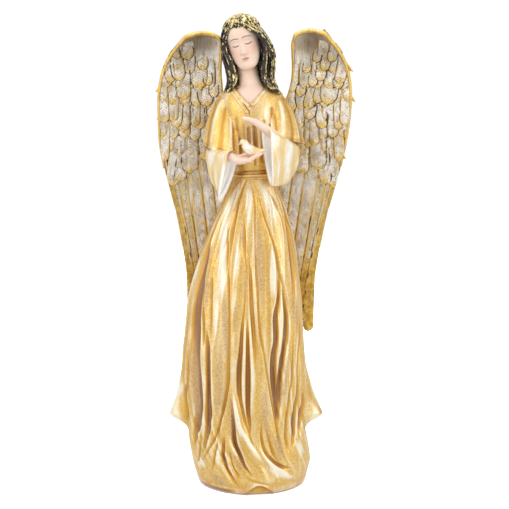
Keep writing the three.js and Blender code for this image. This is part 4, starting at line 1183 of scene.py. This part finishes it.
# Below the bend each edge has a track of its own
WING_BEND = 290
WING_LOWER_OUTER = track([
    (154, 69.5), (172, 69.5), (194, 69.5), (217, 70), (238, 72.4), (262, 76.3), (290, 81.5),
])
WING_LOWER_EDGE = track([(154, 59), (165, 55.5), (188, 48), (221, 37), (260, 27), (290, 21)])
# Height, depth of the inner and of the outer edge, and how far the wing bows between them
WING_DEPTH = track([
    (154, 42, 41, 0), (250, 37, 30, 1), (350, 30, 17, 4), (420, 24, 11, 8), (477, 17, 11, 5),
])
# The height of each wing's top. Everywhere the right wing is 1 and the left wing is -1.
WING_TOPS = {1: 474.5, -1: 472}
WING_HALF_WALL = 2.2
# Short feathers as (tip's distance from the axis, tip's height, width, length, lean),
# from the lowest to the highest
RIGHT_COVERTS = [
    (86, 313, 12, 60, 6), (77.5, 317, 11.5, 58, 6), (53, 327, 12, 34, 2), (69.5, 332, 15.5, 48, 2),
    (91, 341, 9.5, 52, 3), (42, 345, 10, 34, -3), (51.5, 352, 9, 40, 0), (58, 355, 8, 38, 0),
    (64, 357, 9, 40, 0), (83.5, 366, 10, 42, 3), (89, 374, 8, 38, 2), (72, 375, 11, 26, 1),
    (95.5, 378, 11, 46, -1), (47, 374, 10, 30, -3), (58, 384, 12, 24, -3), (41, 393, 9, 20, 4),
    (56.5, 395, 11, 24, -6), (66, 401, 10, 22, -5), (76.5, 400, 16, 28, -4), (48, 408, 9, 18, -3),
    (87.5, 416, 10, 16, 0), (60.5, 418, 9, 18, -3), (68.5, 424, 10, 20, -3), (88, 421, 10, 38, -6),
    (54, 432, 8, 14, -2), (72.5, 434.5, 9, 18, -3), (64, 443, 8, 13, -3), (79, 443.5, 9, 16, -4),
]
LEFT_COVERTS = [
    (84, 315, 13, 62, 6), (76, 320, 11.5, 56, 5), (65.5, 328, 16, 52, -1), (50, 342, 10, 36, -2),
    (92.5, 341, 9, 52, 2), (41, 350, 9, 30, -3), (55.5, 374, 10.5, 34, -2), (60.5, 377, 9, 34, 0),
    (73, 372, 13.5, 38, -1), (80, 376, 10, 38, 2), (83.5, 382.5, 10, 42, 1), (92, 381, 9.5, 44, -2),
    (43, 386, 9, 24, -2), (48.5, 398, 14.5, 24, -3), (41, 407, 9, 20, -1), (72, 405, 13.5, 30, -2),
    (56, 416.5, 16.5, 30, -2), (47, 419, 9, 20, -2), (85, 422.5, 9, 28, -4), (76.5, 424.5, 12.5, 26, -4),
    (52.5, 435, 10, 16, -1), (78, 447, 8, 12, -4), (67.5, 446, 13, 18, -4),
]
# Long feathers as runs of (distance from the axis, height), with their width and gilding
PRIMARIES = [
    (((30, 352), (26, 320), (23, 290)), 12, -0.15),
    (((40, 352), (35, 310), (30, 262)), 12.5, -0.15),
    (((51, 352), (46, 300), (41, 262), (38, 226)), 12.5, -0.05),
    (((63, 350), (58.5, 305), (54, 265), (50, 230), (48, 196)), 12.5, 0.15),
    (((74, 345), (70.5, 300), (65, 260), (58.5, 215), (57, 190), (59.5, 166)), 10, 0.5),
    (((82, 340), (78.5, 300), (72, 265), (65.5, 225), (61, 195), (61, 175)), 8, 0.4),
    (((90, 340), (86, 308), (77.5, 270), (70.5, 235), (65, 195), (62.5, 154)), 13, 0.95),
]
# Small points that stand out of the outer edge
RIGHT_POINTS = ((79, 466), (91, 452), (102, 433), (105.5, 402), (97.5, 343))
LEFT_POINTS = ((88, 449), (101.5, 412), (100, 384), (92.5, 342))


def wing_edges(side, z):
    """The distance of the inner and the outer edge from the wings' axis. The left wing stands a
    little closer in."""
    upper = WING_OUTLINE(z)
    inner = np.where(z < WING_BEND, WING_LOWER_EDGE(z)[..., 0], upper[..., 0])
    outer = np.where(z < WING_BEND, WING_LOWER_OUTER(z)[..., 0], upper[..., 1])
    if side < 0:
        inner = inner - 6 * smooth((z - 385) / 40)
        outer = outer - 2.6 * smooth((z - 350) / 50)
    return inner, outer


def edges_at(side, height):
    """The same two distances at one height, as plain numbers."""
    return tuple(float(edge) for edge in wing_edges(side, np.array(float(height))))


def wing_place(side, x, z, lift):
    """Where a place on a wing lies, lifted off the middle of its plate towards the front."""
    inner, outer = wing_edges(side, z)
    share = np.clip((outer - x) / np.maximum(outer - inner, 1), 0, 1)
    y_inner, y_outer, dish = np.moveaxis(WING_DEPTH(z), -1, 0)
    y = mix(y_outer, y_inner, share**1.3) + dish * np.sin(math.pi * share)
    axis = mix(-1.5, 2.5, (z - 190) / 287)
    return np.stack(np.broadcast_arrays(axis + side * x, y - lift, z), axis=-1)


def inside_rim(side, x, z):
    """Keeps a feather's points inside the wing's outline."""
    inner, outer = wing_edges(side, z)
    x = np.clip(x, inner + 0.4, outer - 0.8)
    return x, np.minimum(z, WING_TOPS[side] - 3 - 0.012 * (x - 58) ** 2)


def feather(side, path, width, gild, lift=2.1, tilt=-0.5, pointed=False, points=(34, 13), rim_width=1.7):
    """One feather, worked out flat: places, heights above the plate, and what its finish needs.
    Along it u runs from 0 at its root to 1 at its tip, and across it v runs from -1 to 1."""
    path = np.array(path, float)
    reach = np.concatenate([[0], np.cumsum(np.hypot(*np.diff(path, axis=0).T))])
    length = reach[-1]
    line = track(np.column_stack([reach / length, path]))
    u = 1 - (1 - np.linspace(0, 1, points[0])) ** 1.15
    middle = line(u)
    ahead = unit(line(np.minimum(u + 0.02, 1)) - line(np.maximum(u - 0.02, 0)))
    u = u[:, None]
    v = np.linspace(-1, 1, points[1])[None, :]
    tip = np.clip((u - 1) * length / (0.6 * width) + 1, 0, 1)
    half = width / 2 * mix(0.8, 1.0, smooth(u * 2.2)) * np.sqrt(np.maximum(1 - tip**2, 0.0))
    if pointed:
        half = width / 2 * (1 - u) ** 0.8
    half = np.maximum(half, 0.02)
    x = middle[:, :1] - ahead[:, 1:] * half * v
    z = middle[:, 1:] + ahead[:, :1] * half * v
    camber = 0.8 * (1 - np.abs(v) ** 3)
    shaft = 0.4 * bell(v, 0.12) * (1 - 0.6 * u)
    rise = lift * u**1.4 + (camber + shaft) * mix(0.35, 1.0, u) + tilt * v * smooth(4 * u)
    rise = rise - 2.4 * (1 - smooth(u * length / 11))
    if not pointed:
        x, z = inside_rim(side, x, z)
    inward = np.minimum(half * (1 - np.abs(v)), (1 - u) * length)
    barb = TURN * (u * length - 0.9 * np.abs(v) * half) / 2.7
    gilding = gild + 0.9 * smooth((u - 1) * length / 11 + 1) + 1.1 * smooth((250 - z) / 50)
    flat = np.stack([x, z], axis=-1)
    loose = points[0] // 3
    return {
        "x": x, "z": z, "rise": rise, "edge": 1 - smooth(inward / rim_width), "barb": barb,
        # root: painted shade, strongest at the root where the feather above covers it
        "gild": gilding, "root": 0.4 * (1 - u) ** 1.5,
        "outline": np.concatenate([flat[loose:, 0], flat[loose:, -1], flat[-1]]),
    }


# How far from a feather's outline the painted shade reaches
SHADE_REACH = 1.3


def shade_beside_outlines(x, z, above):
    """Painted shade where a feather above ends: 1 right beside its outline, 0 further off."""
    nearest = np.full(x.shape, 99.0)
    for other in above:
        line = other["outline"]
        low, high = line.min(axis=0) - SHADE_REACH, line.max(axis=0) + SHADE_REACH
        near = (x > low[0]) & (x < high[0]) & (z > low[1]) & (z < high[1])
        if near.any():
            gaps = np.hypot(x[near][:, None] - line[:, 0], z[near][:, None] - line[:, 1])
            nearest[near] = np.minimum(nearest[near], gaps.min(axis=1))
    return 1 - smooth(nearest / SHADE_REACH)


def lay(piece, side, face, shape, above):
    """Puts one feather on the front (1) or the back (-1) of a wing."""
    x, z = shape["x"], shape["z"]
    place = wing_place(side, x, z, face * (WING_HALF_WALL + shape["rise"]))
    under = wing_place(side, x, z, -0.4 * face)
    sheet = np.concatenate([under[:, :1], place, under[:, -1:]], axis=1)
    close = np.concatenate([under[-1:, :1], under[-1:], under[-1:, -1:]], axis=1)

    def padded(values, rim=None):
        """Values for the walls too: those of the rim, or a value of their own."""
        values = np.broadcast_to(values, x.shape)
        if rim is None:
            return np.pad(values, ((0, 1), (1, 1)), mode="edge")
        return np.pad(values, ((0, 1), (1, 1)), constant_values=rim)

    piece.grid(
        np.concatenate([sheet, close]), closed=False, caps=False, outward=(0, -face, 0),
        edge=padded(shape["edge"]), gild=padded(shape["gild"]), barb=padded(shape["barb"]),
        # painted shade beside the feathers above, half of it on the walls, and shade at the root and below
        # the rim
        dark=padded(shade_beside_outlines(x, z, above), rim=0.5),
        shade=padded(np.maximum(shape["root"], 0.55 * smooth((z - 425) / 30))),
    )


def blade(piece, side, feathers):
    """The wing's own plate, under the feathers, hollow and with painted shade below the rim."""
    top = WING_TOPS[side]
    z = np.concatenate([np.linspace(168, 440, 76), np.linspace(442, top - 1, 26)])
    inner, outer = wing_edges(side, z)
    arch = np.clip((z - top + 11) / 10.5, 0, 1)
    middle, half = (inner + outer) / 2, (outer - inner) / 2 * np.sqrt(np.maximum(1 - arch**2, 0.03))
    half = half - np.minimum(2.2, 0.5 * half)
    share = np.linspace(0, 1, 48)[None, :]
    x = mix((middle + half)[:, None], (middle - half)[:, None], share)
    high = z[:, None] + 0 * x
    depth = 1.8 * np.sin(math.pi * share) * smooth((high - 400) / 40)
    grain = 0.1 * np.sin(1.9 * x + 2.2 * np.sin(high / 9)) * smooth((high - 400) / 20)
    front = wing_place(side, x, high, WING_HALF_WALL - 0.4 - depth + grain)
    back = wing_place(side, x, high, -WING_HALF_WALL + 0.4 + grain)
    # painted shade beside the feathers' outlines, and shade over the plate, most below the rim
    dark = shade_beside_outlines(x, high, feathers)
    shade = 0.2 + 0.8 * smooth((high - 438) / 24) * np.sin(math.pi * share) ** 0.4

    def both(there, return_way):
        """Values across the front, then back across the rear."""
        return np.concatenate([there, return_way[:, ::-1]], axis=1)

    piece.grid(both(front, back), dark=both(dark, dark), shade=both(shade, shade),
               gild=0.05, edge=0.0, barb=-3.0)


def rim(piece, side):
    """The rounded gilt edge up the inner side, over the top and down the outer side."""
    top = WING_TOPS[side]
    near, far = edges_at(side, 460)
    run = [(edges_at(side, z)[0] + 1.0, min(z, top - 8), 1.5 + 0.006 * (z - 394))
           for z in (394, 406, 418, 430, 442, 452, 461, 468)]
    run += [(mix(near, far, t), top - drop, 2.4 + 0.8 * t)
            for t, drop in ((0.1, 4.0), (0.26, 0.9), (0.46, 0.0), (0.66, 2.2))]
    run += [(edges_at(side, z)[1] - 1.2, z + min(0, top - WING_TOPS[1]), 2.5 - 0.14 * i)
            for i, z in enumerate((470, 463, 454, 442, 427, 408, 386, 362, 336))]
    stations = []
    for x, z, size in run:
        place = wing_place(side, np.array(float(x)), np.array(float(z)), 1.4)
        stations.append((*place, size * 1.5, size * 0.95))
    piece.grid(limb(stations, Y_AXIS, 20, 170), gild=0.85, edge=0.15, barb=-3.0, dark=0.0, shade=0.0)


def under_coverts(side):
    """Short feathers in even rows, which fill the gaps between the listed ones."""
    for row, z in enumerate(range(346, 432, 17)):
        inner, outer = edges_at(side, z)
        count = int((outer - inner) / 11)
        for i in range(count):
            share = (i + 0.3 + 0.4 * (row % 2)) / count
            x = inner + (outer - inner) * share
            if z < 415 or share > 0.4:
                yield x, z + 0.1 * (x - 60) + rng.uniform(-2, 2), rng.uniform(-1, 1)


def wing(side, coverts, points, name, material):
    """A wing: rim, long feathers, short feathers over them, small points, and the plate below."""
    piece = Piece(name)
    rim(piece, side)
    feathers = [feather(side, run, width, gild, tilt=-0.9, points=(50, 15), rim_width=3.2)
                for run, width, gild in PRIMARIES]
    for x, z, shift in under_coverts(side):
        path = ((x, z + 36), (x - 0.4, z + 16), (x + shift, z))
        gild = rng.uniform(-0.25, 0.1)
        feathers.append(feather(side, path, 12, gild, lift=1.1, tilt=-0.4, points=(30, 11)))
    for x, z, width, length, lean in coverts:
        path = ((x - lean, z + length), (x - 0.52 * lean, z + 0.45 * length), (x, z))
        gild = rng.uniform(-0.2, 0.12) + (0.12 if z < 360 else 0.0)
        feathers.append(feather(side, path, width * 1.1, gild, lift=2.1 + rng.uniform(-0.2, 0.3)))
    spikes = []
    for x, z in points:
        path = ((x - 10, z + 7.5), (x - 4, z + 3.5), (x, z))
        spikes.append(feather(side, path, 8, 0.6, lift=1.2, tilt=0.0, pointed=True, points=(16, 7)))
    blade(piece, side, feathers)
    for face in (1, -1):
        for spike in spikes:
            lay(piece, side, face, spike, [])
        for i, shape in enumerate(feathers):
            lay(piece, side, face, shape, feathers[i + 1:])
    return piece.build(material, "silvered_wings", relief_steps=10)


def wing_root(material):
    """The web between the shoulder blades that carries both wings."""
    rows = [(-38, 24, 386, 20, 4), (-22, 22, 378, 32, 7), (0, 19, 372, 38, 8), (22, 22, 378, 32, 7),
            (40, 24, 386, 20, 4)]
    piece = Piece("wing_root").grid(limb(rows, Z_AXIS, 90, 90, strands=6, depth=0.06))
    return piece.build(material, "gilt_resin", relief_steps=24)


# Stage, light and camera


def paper(name, colour, roughness):
    """Plain paper, a trace darker in clouds."""
    f = Finish(name)
    darker = rgb(*(0.99 * part for part in colour[:3]))
    return f.done(f.mix(colour, darker, f.noise(3, 2)), 0.0, roughness)


def floor():
    mesh = bpy.data.meshes.new("floor")
    corners = [(-2.2, -1.4, 0), (2.2, -1.4, 0), (2.2, 1.7, 0), (-2.2, 1.7, 0)]
    mesh.from_pydata(corners, [], [(0, 1, 2, 3)])
    obj = add_object("floor", mesh)
    mesh.materials.append(paper("floor_paper", rgb(0.92, 0.92, 0.92), 0.7))
    obj.visible_glossy = False
    obj.visible_diffuse = False
    return obj


def softbox(name, place, aim, size, power):
    light = bpy.data.lights.new(name, "AREA")
    light.shape = "RECTANGLE"
    light.size, light.size_y = size
    light.energy = power
    obj = add_object(name, light)
    obj.location = place
    obj.rotation_euler = (Vector(aim) - Vector(place)).to_track_quat("-Z", "Y").to_euler()
    return obj


def lights(paper_floor):
    """Three softboxes for the figure, one that whitens the floor alone, and a pale world, a little
    brighter where the camera sees it."""
    middle = (0, 0, 0.27)
    softbox("key", (-0.95, -1.0, 0.85), middle, (0.8, 1.5), 4.4)
    softbox("fill", (1.0, -0.9, 0.75), middle, (0.6, 1.4), 3.4)
    softbox("crown", (0, 0.1, 1.5), middle, (0.9, 0.7), 5.0)
    over_floor = softbox("table", (0, 0.4, 1.9), (0, 0.4, 0), (4.4, 3.4), 200)
    only_floor = bpy.data.collections.new("only_floor")
    only_floor.objects.link(paper_floor)
    over_floor.light_linking.receiver_collection = only_floor
    world = bpy.data.worlds.new("studio")
    bpy.context.scene.world = world
    world.use_nodes = True
    tree = world.node_tree
    background = tree.nodes["Background"]
    seen = tree.nodes.new("ShaderNodeLightPath").outputs["Is Camera Ray"]
    strength = tree.nodes.new("ShaderNodeMapRange")
    strength.inputs["To Min"].default_value = 0.88
    strength.inputs["To Max"].default_value = 1.05
    tree.links.new(seen, strength.inputs["Value"])
    tree.links.new(strength.outputs["Result"], background.inputs["Strength"])
    background.inputs["Color"].default_value = (1.0, 1.0, 1.0, 1.0)


PICTURE_SIDE = 509
CAMERA_PLACE, CAMERA_LENS = (0, -1.2, 0.43), 82.26
CAMERA_LOOKS_DOWN, CAMERA_SHIFT = math.radians(8.785), 2.5


def camera():
    data = bpy.data.cameras.new("camera")
    data.lens = CAMERA_LENS
    data.sensor_width = 36.0
    data.shift_x = CAMERA_SHIFT / PICTURE_SIDE
    obj = add_object("camera", data)
    obj.location = CAMERA_PLACE
    obj.rotation_euler = (math.radians(90) - CAMERA_LOOKS_DOWN, 0, 0)
    bpy.context.scene.camera = obj


camera()
gold = gilt("gilt")
gown(gold)
tunic(gold)
belt(gilt("belt_gilt", base=BELT_GOLD, pale=BELT_PALE, low=-0.5, high=0.4))
wide_sleeve(-1, LEFT_WIDE, "tunic_sleeve_left", gold)
wide_sleeve(1, RIGHT_WIDE, "tunic_sleeve_right", gold)
pearl_finish = pearl("pearl")
bell_sleeve(LEFT_BELL, (0.42, 0.91, 0), 0.42, "bell_sleeve_left", pearl_finish)
bell_sleeve(RIGHT_BELL, (-0.4, 0.92, 0), 0.16, "bell_sleeve_right", pearl_finish)
flesh = skin("flesh")
hands(flesh)
dove(pearl("dove_pearl"))
head(flesh)
hair(painted_hair("hair_paint"))
feather_finish = feathered("feathers")
wing(1, RIGHT_COVERTS, RIGHT_POINTS, "wing_right", feather_finish)
wing(-1, LEFT_COVERTS, LEFT_POINTS, "wing_left", feather_finish)
wing_root(gold)
lights(floor())
bpy.context.scene.view_settings.view_transform = "Standard"
